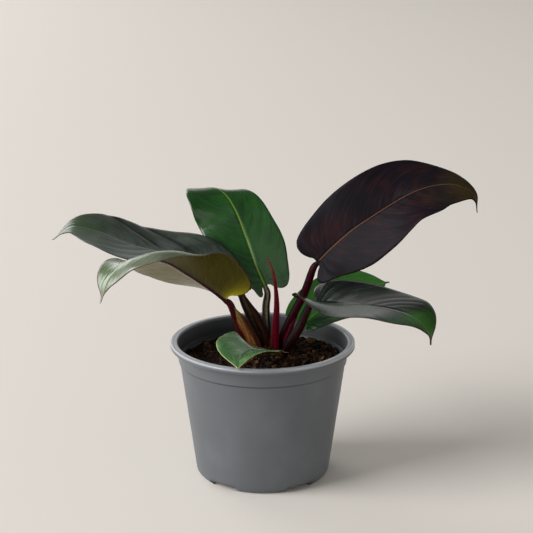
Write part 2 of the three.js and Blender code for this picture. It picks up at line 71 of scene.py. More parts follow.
camera_data = bpy.data.cameras.new("camera")
camera_data.sensor_width = SENSOR
camera_data.lens = SENSOR * FOCAL_LENGTH / PICTURE
camera = bpy.data.objects.new("camera", camera_data)
camera.location = CAMERA_PLACE
camera.rotation_euler = (math.pi / 2 - LOOKING_DOWN, 0, 0)
bpy.context.scene.collection.objects.link(camera)
bpy.context.scene.camera = camera

# Pot
# A 17 cm nursery pot, moulded in satin grey plastic: a rolled rim, a collar that steps in to the body, a
# ledge inside for stacking, and five drain pockets that open as notches round the foot. From here on,
# sizes of things are in millimetres.
MM = 0.001
POT_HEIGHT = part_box("pot")[1].z / MM
RIM_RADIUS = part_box("pot")[1].x / MM
MOUTH_RADIUS = 78.5
RIM_DEPTH = 5
RIM_CORNER = 1.2
RIM_ROUND = 1.6
MOUTH_ROUND = 1.3
COLLAR_TOP_RADIUS = 79.4
COLLAR_FOOT_RADIUS = 77.4
STEP_HEIGHT = 109
BODY_TOP_RADIUS = 76.3
BODY_FOOT_RADIUS = 62.2
FOOT_HEIGHT = 8.5
FOOT_ROUND = 1.6
BASE_RADIUS = 57
LEDGE_RADIUS = 76.5
LEDGE_HEIGHT = 112.5
INNER_FOOT_HEIGHT = 9.5
WALL = 1.6
FLOOR = 2.4
POT_STEPS = 180
POCKETS = 5
POCKET_ANGLE = 16.5
POCKET_HALF_ANGLE = 14
POCKET_INNER = 45
POCKET_HEIGHT = 5
ROOF = 1.8
DRAIN_RADIUS = 4
FLOW_CLOUDS = 22
MOULD_GRAIN = 2600
RUB_RINGS = 900
PLASTIC = "#565a5f"
# Rubbed plastic, also paler as a painted highlight on the rim's top
PLASTIC_WORN_AND_LIT = "#b0b3b9"
# Painted shade, for the face inside and the corner of the step
PLASTIC_SHADE = "#2c2f32"


def paint(code):
    """Linear colour of a paint code, #rrggbb."""
    parts = [int(code[i : i + 2], 16) / 255 for i in (1, 3, 5)]
    return (*Color(parts).from_srgb_to_scene_linear(), 1)


def node(tree, kind, inputs=None, **settings):
    """A shader node with its settings, and with its inputs set to values or joined to sockets."""
    made = tree.nodes.new("ShaderNode" + kind)
    for name, value in settings.items():
        setattr(made, name, value)
    for key, value in (inputs or {}).items():
        if isinstance(value, bpy.types.NodeSocket):
            tree.links.new(value, made.inputs[key])
        else:
            made.inputs[key].default_value = value
    return made


def mixed(tree, factor, first, second):
    """Socket with a mix of two colours, each of them a socket or a paint code."""
    first, second = (paint(value) if isinstance(value, str) else value for value in (first, second))
    return node(tree, "Mix", {"Factor": factor, 6: first, 7: second}, data_type="RGBA").outputs[2]


def ramp(tree, value, low, high, to_low=0.0, to_high=1.0):
    """Socket that goes smoothly from one value to another as its input goes from low to high."""
    inputs = {"Value": value, 1: low, 2: high, 3: to_low, 4: to_high}
    return node(tree, "MapRange", inputs, interpolation_type="SMOOTHSTEP").outputs[0]


def maths(tree, operation, first, second=0.0):
    return node(tree, "Math", {0: first, 1: second}, operation=operation).outputs[0]


def times(tree, first, second):
    return maths(tree, "MULTIPLY", first, second)


def noise_at(tree, place, scale, detail):
    """Socket with cloudy noise, mostly between 0.3 and 0.7."""
    return node(tree, "TexNoise", {"Vector": place, "Scale": scale, "Detail": detail}).outputs["Fac"]


def finish(name, build, roughness, bump, shine=0.5):
    """Material with one Principled shader. build(tree) gives its colour, roughness and height."""
    material = bpy.data.materials.new(name)
    material.use_nodes = True
    tree = material.node_tree
    tree.nodes.clear()
    colour, rough, height = build(tree)
    raised = node(tree, "Bump", {"Strength": bump[0], "Distance": bump[1], "Height": height}).outputs[0]
    inputs = {"Base Color": colour, "Roughness": ramp(tree, rough, 0, 1, *roughness), "Normal": raised}
    shader = node(tree, "BsdfPrincipled", {**inputs, "Specular IOR Level": shine})
    output = node(tree, "OutputMaterial")
    tree.links.new(shader.outputs[0], output.inputs[0])
    return material


def to_object(bm, name):
    """Turns a bmesh into an object in the scene."""
    mesh = bpy.data.meshes.new(name)
    bm.to_mesh(mesh)
    bm.free()
    made = bpy.data.objects.new(name, mesh)
    bpy.context.scene.collection.objects.link(made)
    return made


def hang(bm, name, nodes, materials):
    """Makes a piece of the object from a bmesh: it rides with the pot and stands for these CAD nodes."""
    piece = to_object(bm, name)
    for material in materials:
        piece.data.materials.append(material)
    piece.data.shade_smooth()
    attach(piece, "root")
    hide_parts(*nodes)
    return piece


def arc(centre_r, centre_z, radius, start, end, steps=5):
    """Points of a rounded corner of a profile, from one angle to another in degrees."""
    angles = np.radians(np.linspace(start, end, steps))
    return [(centre_r + radius * math.cos(a), centre_z + radius * math.sin(a)) for a in angles]


def body_radius(z):
    """Outer radius of the pot's body at a height."""
    rise = (z - FOOT_HEIGHT) / (STEP_HEIGHT - FOOT_HEIGHT)
    return BODY_FOOT_RADIUS + rise * (BODY_TOP_RADIUS - BODY_FOOT_RADIUS)


def spun(profile, steps, turned=0):
    """Closed skin of a profile, spun from the axis round to itself."""
    bm = bmesh.new()
    verts = [bm.verts.new((r * MM, 0, z * MM)) for r, z in profile]
    edges = [bm.edges.new(pair) for pair in zip(verts, verts[1:])]
    start = Matrix.Rotation(math.radians(turned), 3, "Z")
    bmesh.ops.rotate(bm, cent=(0, 0, 0), matrix=start, verts=verts)
    axis = {"cent": (0, 0, 0), "axis": (0, 0, 1), "angle": 2 * math.pi}
    bmesh.ops.spin(bm, geom=verts + edges, steps=steps, use_merge=True, **axis)
    bmesh.ops.remove_doubles(bm, verts=bm.verts, dist=MM / 100)
    bmesh.ops.recalc_face_normals(bm, faces=bm.faces)
    bm.normal_update()
    return bm


def press(bm, faces, level):
    """Brings faces to one level, with walls standing round them."""
    made = bmesh.ops.extrude_face_region(bm, geom=faces)["geom"]
    for vert in made:
        if isinstance(vert, bmesh.types.BMVert):
            vert.co.z = level * MM
    bmesh.ops.delete(bm, geom=faces, context="FACES")


def in_pocket(face, half_angle):
    """Whether a face lies in the sector of one of the drain pockets."""
    centre = face.calc_center_median()
    angle = math.degrees(math.atan2(centre.y, centre.x)) - POCKET_ANGLE
    return abs((angle + 180 / POCKETS) % (360 / POCKETS) - 180 / POCKETS) < half_angle


roof_level = POCKET_HEIGHT + ROOF
foot_rise = (roof_level - FLOOR) / (INNER_FOOT_HEIGHT - FLOOR)
roof_radius = BASE_RADIUS + foot_rise * (BODY_FOOT_RADIUS - WALL - BASE_RADIUS)
pot_profile = [
    (0, 0),
    (POCKET_INNER, 0),
    (BASE_RADIUS - 1, 0),
    *arc(BASE_RADIUS, FOOT_ROUND, FOOT_ROUND, -90, -35, 4),
    (BODY_FOOT_RADIUS - 1.2, 3.6),
    (BODY_FOOT_RADIUS - 0.6, POCKET_HEIGHT),
    (BODY_FOOT_RADIUS, FOOT_HEIGHT),
    *[(body_radius(z), z) for z in (10, 40, 70, 100, STEP_HEIGHT - 0.8, STEP_HEIGHT)],
    (BODY_TOP_RADIUS + 0.05, STEP_HEIGHT + 0.2),
    (COLLAR_FOOT_RADIUS - 0.2, STEP_HEIGHT + 0.2),
    (COLLAR_FOOT_RADIUS, STEP_HEIGHT + 0.5),
    (COLLAR_FOOT_RADIUS + 0.1, STEP_HEIGHT + 1.6),
    (COLLAR_TOP_RADIUS - 0.2, POT_HEIGHT - RIM_DEPTH - 1.6),
    (COLLAR_TOP_RADIUS, POT_HEIGHT - RIM_DEPTH - 0.6),
    (COLLAR_TOP_RADIUS + 0.6, POT_HEIGHT - RIM_DEPTH),
    *arc(RIM_RADIUS - RIM_CORNER, POT_HEIGHT - RIM_DEPTH + RIM_CORNER, RIM_CORNER, -90, 0),
    *arc(RIM_RADIUS - RIM_ROUND, POT_HEIGHT - RIM_ROUND, RIM_ROUND, 0, 90, 7),
    *arc(MOUTH_RADIUS + MOUTH_ROUND, POT_HEIGHT - MOUTH_ROUND, MOUTH_ROUND, 90, 180),
    (MOUTH_RADIUS - 0.2, POT_HEIGHT - 2.5),
    (LEDGE_RADIUS + 0.15, LEDGE_HEIGHT + 2),
    (LEDGE_RADIUS, LEDGE_HEIGHT + 1),
    (LEDGE_RADIUS - 0.3, LEDGE_HEIGHT + 0.3),
    (body_radius(LEDGE_HEIGHT) - WALL + 0.3, LEDGE_HEIGHT),
    (body_radius(LEDGE_HEIGHT) - WALL, LEDGE_HEIGHT - 0.5),
    (BODY_FOOT_RADIUS - WALL, INNER_FOOT_HEIGHT),
    (roof_radius, roof_level),
    (BASE_RADIUS, FLOOR),
    (POCKET_INNER - WALL, FLOOR),
    (0, FLOOR),
]
bm = spun(pot_profile, POT_STEPS, turned=POCKET_ANGLE - POCKET_HALF_ANGLE)
under, over = [], []
for face in bm.faces:
    centre = face.calc_center_median()
    radius = math.hypot(centre.x, centre.y) / MM
    if face.normal.z < 0 and radius > POCKET_INNER and centre.z < POCKET_HEIGHT * MM:
        if in_pocket(face, POCKET_HALF_ANGLE):
            under.append(face)
    elif face.normal.z > 0 and radius > POCKET_INNER - WALL and centre.z < roof_level * MM:
        if in_pocket(face, POCKET_HALF_ANGLE + 360 / POT_STEPS):
            over.append(face)
press(bm, under, POCKET_HEIGHT)
press(bm, over, roof_level)
bmesh.ops.remove_doubles(bm, verts=bm.verts, dist=MM / 100)
bmesh.ops.dissolve_degenerate(bm, edges=bm.edges, dist=MM / 100)
bmesh.ops.recalc_face_normals(bm, faces=bm.faces)


def moulded_plastic(tree):
    """Satin grey plastic: moulding grain, faint flow clouds, a rim top painted paler as a highlight and
    broken by rubbed rings of wear, the face inside darkened as painted shade, and a painted shadow line in
    the corner of the step."""
    place = node(tree, "TexCoord").outputs["Object"]
    clouds = noise_at(tree, place, FLOW_CLOUDS, 5)
    grain = noise_at(tree, place, MOULD_GRAIN, 2)
    x, y, level = node(tree, "SeparateXYZ", {0: place}).outputs
    around = maths(tree, "ARCTAN2", y, x)
    flat = node(tree, "CombineXYZ", {0: x, 1: y}).outputs[0]
    radius = node(tree, "VectorMath", {0: flat}, operation="LENGTH").outputs["Value"]
    rings = {0: times(tree, radius, RUB_RINGS), 1: times(tree, around, 1.5), 2: times(tree, level, RUB_RINGS)}
    turned = node(tree, "CombineXYZ", rings).outputs[0]
    rubbed = noise_at(tree, turned, 1, 3)
    # Painted highlight: the rim's top is paler where it catches the light, broken by rubbed rings of wear
    top = ramp(tree, level, (POT_HEIGHT - 3) * MM, (POT_HEIGHT - 1) * MM)
    worn_and_lit = times(tree, top, ramp(tree, rubbed, 0.3, 0.65, 0.3, 1.0))
    tone = maths(tree, "MAXIMUM", worn_and_lit, ramp(tree, clouds, 0.4, 0.75, 0.0, 0.06))
    colour = mixed(tree, tone, PLASTIC, PLASTIC_WORN_AND_LIT)
    # Painted shade: the face inside is darkened, most just above the soil and less towards the rim
    slope = (MOUTH_RADIUS - LEDGE_RADIUS) / (POT_HEIGHT - LEDGE_HEIGHT)
    upright_radius = maths(tree, "SUBTRACT", radius, times(tree, level, slope))
    face_radius = LEDGE_RADIUS - slope * LEDGE_HEIGHT
    inner = ramp(tree, upright_radius, (face_radius + 0.4) * MM, (face_radius + 0.9) * MM, 1.0, 0.0)
    above = ramp(tree, level, (STEP_HEIGHT + 1) * MM, (STEP_HEIGHT + 1.6) * MM)
    below = ramp(tree, level, LEDGE_HEIGHT * MM, POT_HEIGHT * MM, 1.0, 0.45)
    shaded_inside = times(tree, times(tree, inner, above), below)
    colour = mixed(tree, shaded_inside, colour, PLASTIC_SHADE)
    # Painted shadow: a dark line in the corner under the collar's step
    from_step = maths(tree, "ABSOLUTE", maths(tree, "SUBTRACT", level, (STEP_HEIGHT - 0.2) * MM))
    painted_step_shadow = ramp(tree, from_step, 0.4 * MM, 1.1 * MM, 0.8, 0.0)
    colour = mixed(tree, painted_step_shadow, colour, PLASTIC_SHADE)
    height = maths(tree, "ADD", times(tree, rubbed, top), times(tree, grain, 0.6))
    rough = times(tree, maths(tree, "SUBTRACT", maths(tree, "ADD", shaded_inside, 1.2), top), 0.45)
    return colour, rough, height


plastic = finish("grey_plastic", moulded_plastic, (0.25, 0.6), (0.2, 0.00012))
pot = hang(bm, "grey_nursery_pot", ["pot"], [plastic])

# Drain holes: one through the roof of each pocket, cut with plain rods that are then thrown away
bm = bmesh.new()
for i in range(POCKETS):
    angle = math.radians(POCKET_ANGLE + i * 360 / POCKETS)
    middle = (POCKET_INNER + BODY_FOOT_RADIUS) / 2 * MM
    place = Matrix.Translation((middle * math.cos(angle), middle * math.sin(angle), POCKET_HEIGHT * MM))
    sizes = {"radius1": DRAIN_RADIUS * MM, "radius2": DRAIN_RADIUS * MM, "depth": 3 * ROOF * MM}
    bmesh.ops.create_cone(bm, cap_ends=True, segments=24, matrix=place, **sizes)
rods = to_object(bm, "drain_rods")
drill = pot.modifiers.new("drain_holes", "BOOLEAN")
drill.operation = "DIFFERENCE"
drill.object = rods
drilled = bpy.data.meshes.new_from_object(pot.evaluated_get(bpy.context.evaluated_depsgraph_get()))
pot.modifiers.remove(drill)
pot.data = drilled
bpy.data.objects.remove(rods)

# Soil
# Loose peat mix, filled to just below the ledge and heaped a little round the stalks: rounded clods with
# cracks between them, and crumbs, chips of bark and short fibres that lie on top, sunk in where they touch.
SOIL_EDGE = 110
SOIL_HEAP = 5
HEAP_RADIUS = 32
LUMPS = [(40, 1.5), (13, 0.9)]
SOIL_BOTTOM = roof_level + 0.4
SOIL_CLEAR = WALL + 0.35
CROWN_X = 11
CROWN_Y = 16
SOIL_RINGS = 130
SOIL_STEPS = 300
CLODS = [(7.5, 1.5), (3.6, 0.9), (1.7, 0.4)]
CLOD_SHOULDER = 0.6
CLODS_SUNK = 1.6
TALLEST_CLODS = 4
CRUMBS = 1500
CRUMB_SIZES = (0.7, 2.3)
SMALL_CRUMB = 1.4
CRUMBS_SUNK = 1.5
FIBRE_SHARE = 0.12
FIBRE_LENGTHS = (2, 4)
FIBRE_THICKNESS = 0.28
PEAT_PATCHES = 120
GRIT = 1500
# Colour of the cracks, as painted shade
PEAT_IN_SHADE = "#0f0a07"
PEAT = "#2e1c10"
PEAT_LIGHT = "#5e3f25"
BARK = "#94704a"


def crossed(along, length):
    """A wave of one length."""
    return math.sin(2 * math.pi * along / length)


def soil_level(x, y):
    """Height of the soil without its clods: the heap, and lumps from crossed waves that bend each other."""
    level = SOIL_EDGE + SOIL_HEAP * math.exp(-((math.hypot(x - CROWN_X, y - CROWN_Y) / HEAP_RADIUS) ** 2))
    for size, height in LUMPS:
        bent = size / 5
        across_x = crossed(x + bent * crossed(y, 1.5 * size), size)
        across_y = crossed(y + bent * crossed(x, 1.3 * size), size)
        level += height * across_x * across_y
    return level


def clods(x, y):
    """Height of the rounded clods, with cracks where they meet."""
    raised = 0
    for size, height in CLODS:
        near = noise.voronoi(Vector((x / size, y / size, size)))[0]
        rounded = (min(near[1] - near[0], CLOD_SHOULDER) / CLOD_SHOULDER) ** 0.6
        uneven = 0.6 + 0.4 * noise.cell(Vector((x, y, 0)) / size)
        raised += height * rounded * uneven
    return raised


def ball(subdivisions):
    """Points and triangles of a round ball of radius 1."""
    bm = bmesh.new()
    bmesh.ops.create_icosphere(bm, subdivisions=subdivisions, radius=1)
    points = [vert.co.copy() for vert in bm.verts]
    triangles = [[vert.index for vert in face.verts] for face in bm.faces]
    bm.free()
    return points, triangles


lowest = SOIL_EDGE - sum(height for size, height in LUMPS)
soil_radius = body_radius(lowest) - SOIL_CLEAR
rings = [(r, SOIL_EDGE) for r in np.linspace(0, soil_radius, SOIL_RINGS)]
bm = spun([*rings, (BODY_FOOT_RADIUS - SOIL_CLEAR, INNER_FOOT_HEIGHT), (0, SOIL_BOTTOM)], SOIL_STEPS)
tone = bm.verts.layers.float.new("tone")
for vert in bm.verts:
    if vert.co.z > (SOIL_EDGE - 1) * MM:
        x, y = vert.co.x / MM, vert.co.y / MM
        raised = clods(x, y)
        vert.co.z = (soil_level(x, y) + raised - CLODS_SUNK) * MM
        # The clod's height, which the soil's colour turns into painted shade, darkest in the cracks
        vert[tone] = raised / TALLEST_CLODS
small_ball, large_ball = ball(1), ball(2)
rng = random.Random(5)
for i in range(CRUMBS):
    angle = rng.uniform(0, 2 * math.pi)
    away = (soil_radius - 2) * math.sqrt(rng.random())
    x, y = away * math.cos(angle), away * math.sin(angle)
    size = CRUMB_SIZES[0] + (CRUMB_SIZES[1] - CRUMB_SIZES[0]) * rng.random() ** 2.5
    points, triangles = small_ball if size < SMALL_CRUMB else large_ball
    if rng.random() < FIBRE_SHARE:
        shape = Vector((rng.uniform(*FIBRE_LENGTHS), FIBRE_THICKNESS, FIBRE_THICKNESS))
    else:
        shape = Vector((rng.uniform(0.8, 1.3), rng.uniform(0.6, 1), rng.uniform(0.4, 0.8))) * size
    turn = Matrix.Rotation(rng.uniform(0, 2 * math.pi), 3, "Z")
    turn = turn @ Matrix.Rotation(rng.uniform(-0.4, 0.4), 3, "Y")
    place = Vector((x, y, soil_level(x, y) + clods(x, y) - CRUMBS_SUNK + 0.35 * shape.z))
    shade = rng.random() ** 2
    crumb = []
    for point in points:
        rough = 1 + 0.35 * noise.noise(point * 1.7 + place)
        crumb.append(bm.verts.new((place + turn @ (shape * rough * point)) * MM))
        crumb[-1][tone] = 0.35 + 0.65 * shade
    for corners in triangles:
        bm.faces.new([crumb[corner] for corner in corners])
bmesh.ops.recalc_face_normals(bm, faces=bm.faces)


def potting_mix(tree):
    """Damp peat, brown up on the clods and near black down in the cracks as painted shade, with a few pale
    crumbs of bark.
    """
    place = node(tree, "TexCoord").outputs["Object"]
    shade = node(tree, "Attribute", attribute_name="tone").outputs["Fac"]
    patches = noise_at(tree, place, PEAT_PATCHES, 6)
    grit = noise_at(tree, place, GRIT, 4)
    # Painted shade: near black down in the cracks, brown up on the clods
    dark = mixed(tree, ramp(tree, shade, 0.1, 0.5), PEAT_IN_SHADE, PEAT)
    brown = mixed(tree, ramp(tree, patches, 0.5, 0.72), dark, PEAT_LIGHT)
    colour = mixed(tree, ramp(tree, shade, 0.75, 1.0, 0.0, 0.7), brown, BARK)
    return colour, grit, maths(tree, "ADD", grit, patches)


peat = finish("potting_mix", potting_mix, (0.8, 1.0), (0.8, 0.0006), shine=0.15)
hang(bm, "potting_soil", ["soil"], [peat])

# Leaf blades
# Leathery oblong leaves with a heart-shaped base and a drip tip: a round midrib that stands out below and
# is sunk above, side veins that dent the upper face, and an edge thinner than the middle. Each blade
# grows on the end of its own stalk.

# rib: points of the midrib from the stalk to the tip in millimetres, each with the way the upper side
# faces there. The lists of widths, rises and curls run in even steps from base to tip: the width of each
# half, how many degrees it rises from the midrib, and how much further it curls on its way to the margin.
# A half without curls doesn't curl. heart: depth of the left and of the right lobe, as multiples. ripple:
# height, number and start of the waves along the margins. stalk and radii: the stalk's route and its
# thickness. groove: the way its groove faces.
LEAVES = {
    "far_left": {
        "rib": [
            (-24, 19, 172.5, 0.4, -0.5, 0.8),
            (-40, 22, 190, 0.3, -0.4, 0.9),
            (-67, 26, 201, 0.1, -0.3, 1),
            (-97, 30, 205, 0, -0.3, 1),
            (-124, 34, 211, 0, -0.3, 1),
            (-151, 39, 221, 0, -0.3, 1),
            (-176, 44, 225, -0.3, -0.3, 1),
            (-196, 46, 211, -0.7, -0.2, 0.7),
        ],
        "heart": [0.8, 0.8],
        "left_width": [24, 34, 37, 37, 36, 34],
        "left_rise": [45, 25, 12, 8, 4, 0],
        "right_width": [26, 36, 38, 37, 38, 38],
        "right_rise": [15, 12, 0, 0, 0, 0],
        "right_curl": [-60, -25, 0, 0, 0, 0],
        "ripple": (2, 1.5, 0),
        "stalk": [(4, 20, 98), (0, 21, 119), (-7, 21, 136), (-15, 19, 153.5)],
        "radii": [4, 4.4, 4.2, 3.6, 2.6],
        "groove": [0.2, -0.9, 0.3],
    },
    "front_left": {
        "rib": [
            (-34, -6, 169, 0, 0.85, 0.53),
            (-51, -12, 184, 0, 0.85, 0.53),
            (-69, -18, 198, 0, 0.8, 0.6),
            (-86, -24, 210, -0.1, 0.6, 0.8),
            (-105, -30, 215, -0.2, 0.25, 1),
            (-124, -36, 213, -0.4, -0.3, 0.9),
            (-138, -41, 198, -0.45, -0.8, 0.4),
            (-145, -43, 177, -0.4, -0.9, 0.2),
        ],
        "heart": [1, 1],
        "left_width": [40, 40, 36, 34, 25, 14],
        "left_rise": [20, 20, 35, 40, 25, 5],
        "left_curl": [0, -15, -95, -100, -40, 0],
        "right_width": [38, 37, 37, 37, 37, 38],
        "right_rise": [50, 30, 8, -22, -15, -5],
        "ripple": (1.5, 1.5, 0.3),
        "stalk": [(-5, 9, 98), (-13, 7, 120), (-22, 3, 141)],
        "radii": [4.2, 4, 3.7, 3.2, 2.6],
        "groove": [0.8, -0.4, 0.4],
    },
    "centre": {
        "rib": [
            (2, 40, 168, 0, -0.9, 0.4),
            (-7, 48, 187, 0, -0.9, 0.4),
            (-16, 60, 210, -0.1, -0.85, 0.5),
            (-25, 72, 231, -0.15, -0.8, 0.6),
            (-35, 85, 244, -0.1, -0.45, 0.9),
            (-46, 101, 247, 0, 0.1, 1),
            (-54, 118, 241, 0.1, 0.4, 0.9),
            (-57, 134, 228, 0, 0.6, 0.7),
        ],
        "heart": [0.8, 0.8],
        "left_width": [15, 33, 37, 40, 42, 38],
        "left_rise": [15, 10, 0, -8, -10, -4],
        "right_width": [33, 35, 29, 24, 22, 24],
        "right_rise": [12, 10, 0, -12, -15, -10],
        "ripple": (1.5, 1.5, 0.6),
        "stalk": [(7, 29, 98), (4, 34, 124), (3, 38, 147)],
        "radii": [4, 3.8, 3.4, 2.6],
        "groove": [0, -1, 0.1],
    },
    "high_right": {
        "rib": [
            (50, 2, 202, -0.3, -0.7, 0.6),
            (63, 2, 216, -0.3, -0.8, 0.5),
            (81, 0, 233, -0.3, -0.8, 0.5),
            (101, -3, 248, -0.3, -0.75, 0.6),
            (121, -6, 262, -0.3, -0.7, 0.7),
            (138, -9, 272, -0.2, -0.6, 0.8),
            (156, -12, 278, 0, -0.5, 0.85),
            (173, -16, 279, 0.3, -0.5, 0.8),
            (189, -19, 271, 0.7, -0.5, 0.5),
            (192, -21, 255, 0.9, -0.4, 0.2),
        ],
        "heart": [0.4, 0.8],
        "left_width": [37, 39, 38, 38, 28, 14],
        "left_rise": [15, 10, 20, 10, -5, 0],
        "left_curl": [0, 0, 0, 0, -10, 0],
        "right_width": [32, 41, 40, 37, 40, 38],
        "right_rise": [5, 5, 5, 0, -10, 0],
        "ripple": (2, 2, 0.1),
        "stalk": [(17, 24, 98), (17, 16, 121), (26, 12, 145), (38, 7, 171)],
        "radii": [4, 4, 3.9, 3.6, 2.6],
        "groove": [-0.8, -0.3, 0.5],
    },
    "low_right": {
        "rib": [
            (48, -2, 164, 0, -0.3, 1),
            (70, -22, 170, -0.1, -0.3, 1),
            (96, -50, 177, 0, -0.3, 1),
            (121, -76, 180, 0.1, -0.3, 1),
            (137, -92, 177, 0.4, -0.5, 0.8),
            (145, -101, 168, 0.7, -0.6, 0.4),
            (146, -103, 158, 0.8, -0.6, 0.2),
        ],
        "heart": [1, 1],
        "left_width": [36, 34, 34, 34, 38, 44],
        "left_rise": [25, 8, 0, 2, 5, 5],
        "right_width": [36, 34, 34, 33, 32, 32],
        "right_rise": [45, 20, 6, 4, 0, 5],
        "ripple": (1.5, 1.5, 0.4),
        "stalk": [(18, 10, 98), (21, 4, 117), (33, 1, 138)],
        "radii": [4, 4.2, 4.2, 3.6, 2.6],
        "groove": [-0.6, -0.3, 0.7],
    },
    "back_right": {
        "rib": [
            (38, 32, 133, -0.2, -0.6, 0.8),
            (51, 42, 141, -0.2, -0.6, 0.8),
            (68, 57, 146, -0.2, -0.5, 0.9),
            (88, 74, 150, -0.1, -0.5, 0.9),
            (107, 88, 154, 0, -0.4, 0.9),
            (122, 98, 154, 0.2, -0.2, 0.9),
        ],
        "heart": [1, 1],
        "left_width": [29, 29, 29, 31, 34, 36],
        "left_rise": [30, 30, 28, 25, 20, 10],
        "right_width": [31, 31, 31, 30, 29, 29],
        "right_rise": [25, 15, 5, 5, 5, 5],
        "ripple": (1.5, 1.5, 0.2),
        "stalk": [(25, 24, 98), (28, 26, 117)],
        "radii": [3.8, 3.4, 2.6],
        "groove": [-0.5, -0.3, 0.8],
    },
    "front_small": {
        "rib": [
            (11, -11, 120.5, 0, 0.1, 1),
            (2, -20, 124.5, 0, 0.1, 1),
            (-7, -33, 128.5, 0, 0.1, 1),
            (-15, -49, 131.5, 0, 0, 1),
            (-20, -67, 132.5, 0.1, -0.3, 0.9),
            (-22, -87, 129, 0.1, -0.5, 0.8),
        ],
        "heart": [1, 1],
        "left_width": [20, 24, 24, 18, 14, 10],
        "left_rise": [5, 8, 12, 18, 22, 10],
        "left_curl": [0, 0, -10, -10, 0, 0],
        "right_width": [14, 19, 24, 28, 34, 12],
        "right_rise": [0, 10, 42, 36, 14, 5],
        "ripple": (0.6, 1.5, 0),
        "stalk": [(12, 2, 98), (14, -6, 110)],
        "radii": [3.2, 2.8, 2.2],
        "groove": [-0.5, -0.5, 0.7],
    },
}

# Each line follows one side vein and gives where it leaves the midrib and where it meets the margin, as
# parts of the blade's length, how far out that is, as a part of the half width, and how late it bends.
VEINS = [
    (0.0, -0.03, 0.22, 4),
    (0.005, -0.06, 0.36, 3),
    (0.015, -0.07, 0.5, 2.4),
    (0.035, -0.05, 0.66, 2),
    (0.08, 0.03, 0.82, 1.8),
    (0.17, 0.16, 0.93, 1.8),
    (0.28, 0.31, 0.99, 1.8),
    (0.4, 0.46, 1.0, 1.8),
    (0.51, 0.6, 0.93, 1.8),
    (0.62, 0.73, 0.76, 1.8),
    (0.74, 0.83, 0.5, 1.8),
    (0.85, 0.91, 0.22, 1.8),
    (0.93, 0.955, 0.05, 1.8),
    (1.0, 1.0, 0.02, 1.8),
]
UNCURLED = (0, 0)
LOBE_CLEAR = 5
LEFT_AHEAD = 0.4
BLADE_THICKNESS = 0.9
EDGE_THICKNESS = 0.5
EDGE_TAPER = 2.5
MIDRIB_DEPTH = 2.4
MIDRIB_HALF_WIDTH = 3
RIB_GROOVE_DEPTH = 0.35
RIB_GROOVE_HALF_WIDTH = 1.1
RIB_LIPS_AT = 2.6
RIB_LIPS = 0.55
BLADE_ROWS = 260
BLADE_COLUMNS = 52
SIDE_VEINS = 15
BETWEEN_VEINS = 4
VEINS_AHEAD = 0.14
VEIN_BEND = 1.3
SWELL_HEIGHT = 0.4
SIDE_VEIN_DEPTH = 0.25
FINE_VEIN_DEPTH = 0.05
CREASE_DEPTH = 0.7
STREAKS = 1.3
PATCHES = 38
PORES = 1400
LEAF_COLOURS = ("Lamina", "Patch", "Rib", "Margin", "Tip", "Base", "Drip")
LEAF_NUMBERS = {
    "Patchiness": 0.8,
    "Tip Start": 0.7,
    "Base End": 0.15,
    "Rib Width": 0.7,
    "Margin Width": 0.3,
    "Right Side": 0,
    "Streaks": 60,
}
SKIN_OUTPUTS = {"Color": "Color", "Roughness": "Float", "Height": "Float"}


def through(values, where):
    """Smooth value through evenly spaced numbers or points, which runs straight at both ends."""
    values = np.array(values, float)
    knots = np.concatenate([[2 * values[0] - values[1]], values, [2 * values[-1] - values[-2]]])
    last = len(values) - 1
    at = np.clip(where, 0, 1) * last
    i = np.minimum(np.floor(at).astype(int), last - 1)
    f = (at - i)[..., None] if values.ndim > 1 else at - i
    a, b, c, d = (knots[i + k] for k in range(4))
    return b + 0.5 * f * (c - a + f * (2 * a - 5 * b + 4 * c - d + f * (3 * (b - c) + d - a)))


def unit(vectors):
    return vectors / np.linalg.norm(vectors, axis=-1, keepdims=True)


def upright(vectors, along):
    """The vectors turned square to a direction."""
    return unit(vectors - along * np.sum(vectors * along, axis=-1, keepdims=True))


def heading(points, where):
    step = 0.01
    return unit(through(points, np.minimum(where + step, 1)) - through(points, np.maximum(where - step, 0)))


def spine(rib, part):
    """Places of the midrib at parts of its length, the way it runs and the way its upper side faces."""
    rib = np.array(rib, float)
    marks = np.linspace(0, 1, 121)
    steps = np.linalg.norm(np.diff(through(rib[:, :3], marks), axis=0), axis=1)
    lengths = np.concatenate([[0], np.cumsum(steps)])
    where = np.interp(np.clip(part, 0, 1) * lengths[-1], lengths, marks)
    along = heading(rib[:, :3], where)
    place = through(rib[:, :3], where) + along * (np.minimum(part, 0) * lengths[-1])[..., None]
    return place, along, upright(through(rib[:, 3:], where), along)


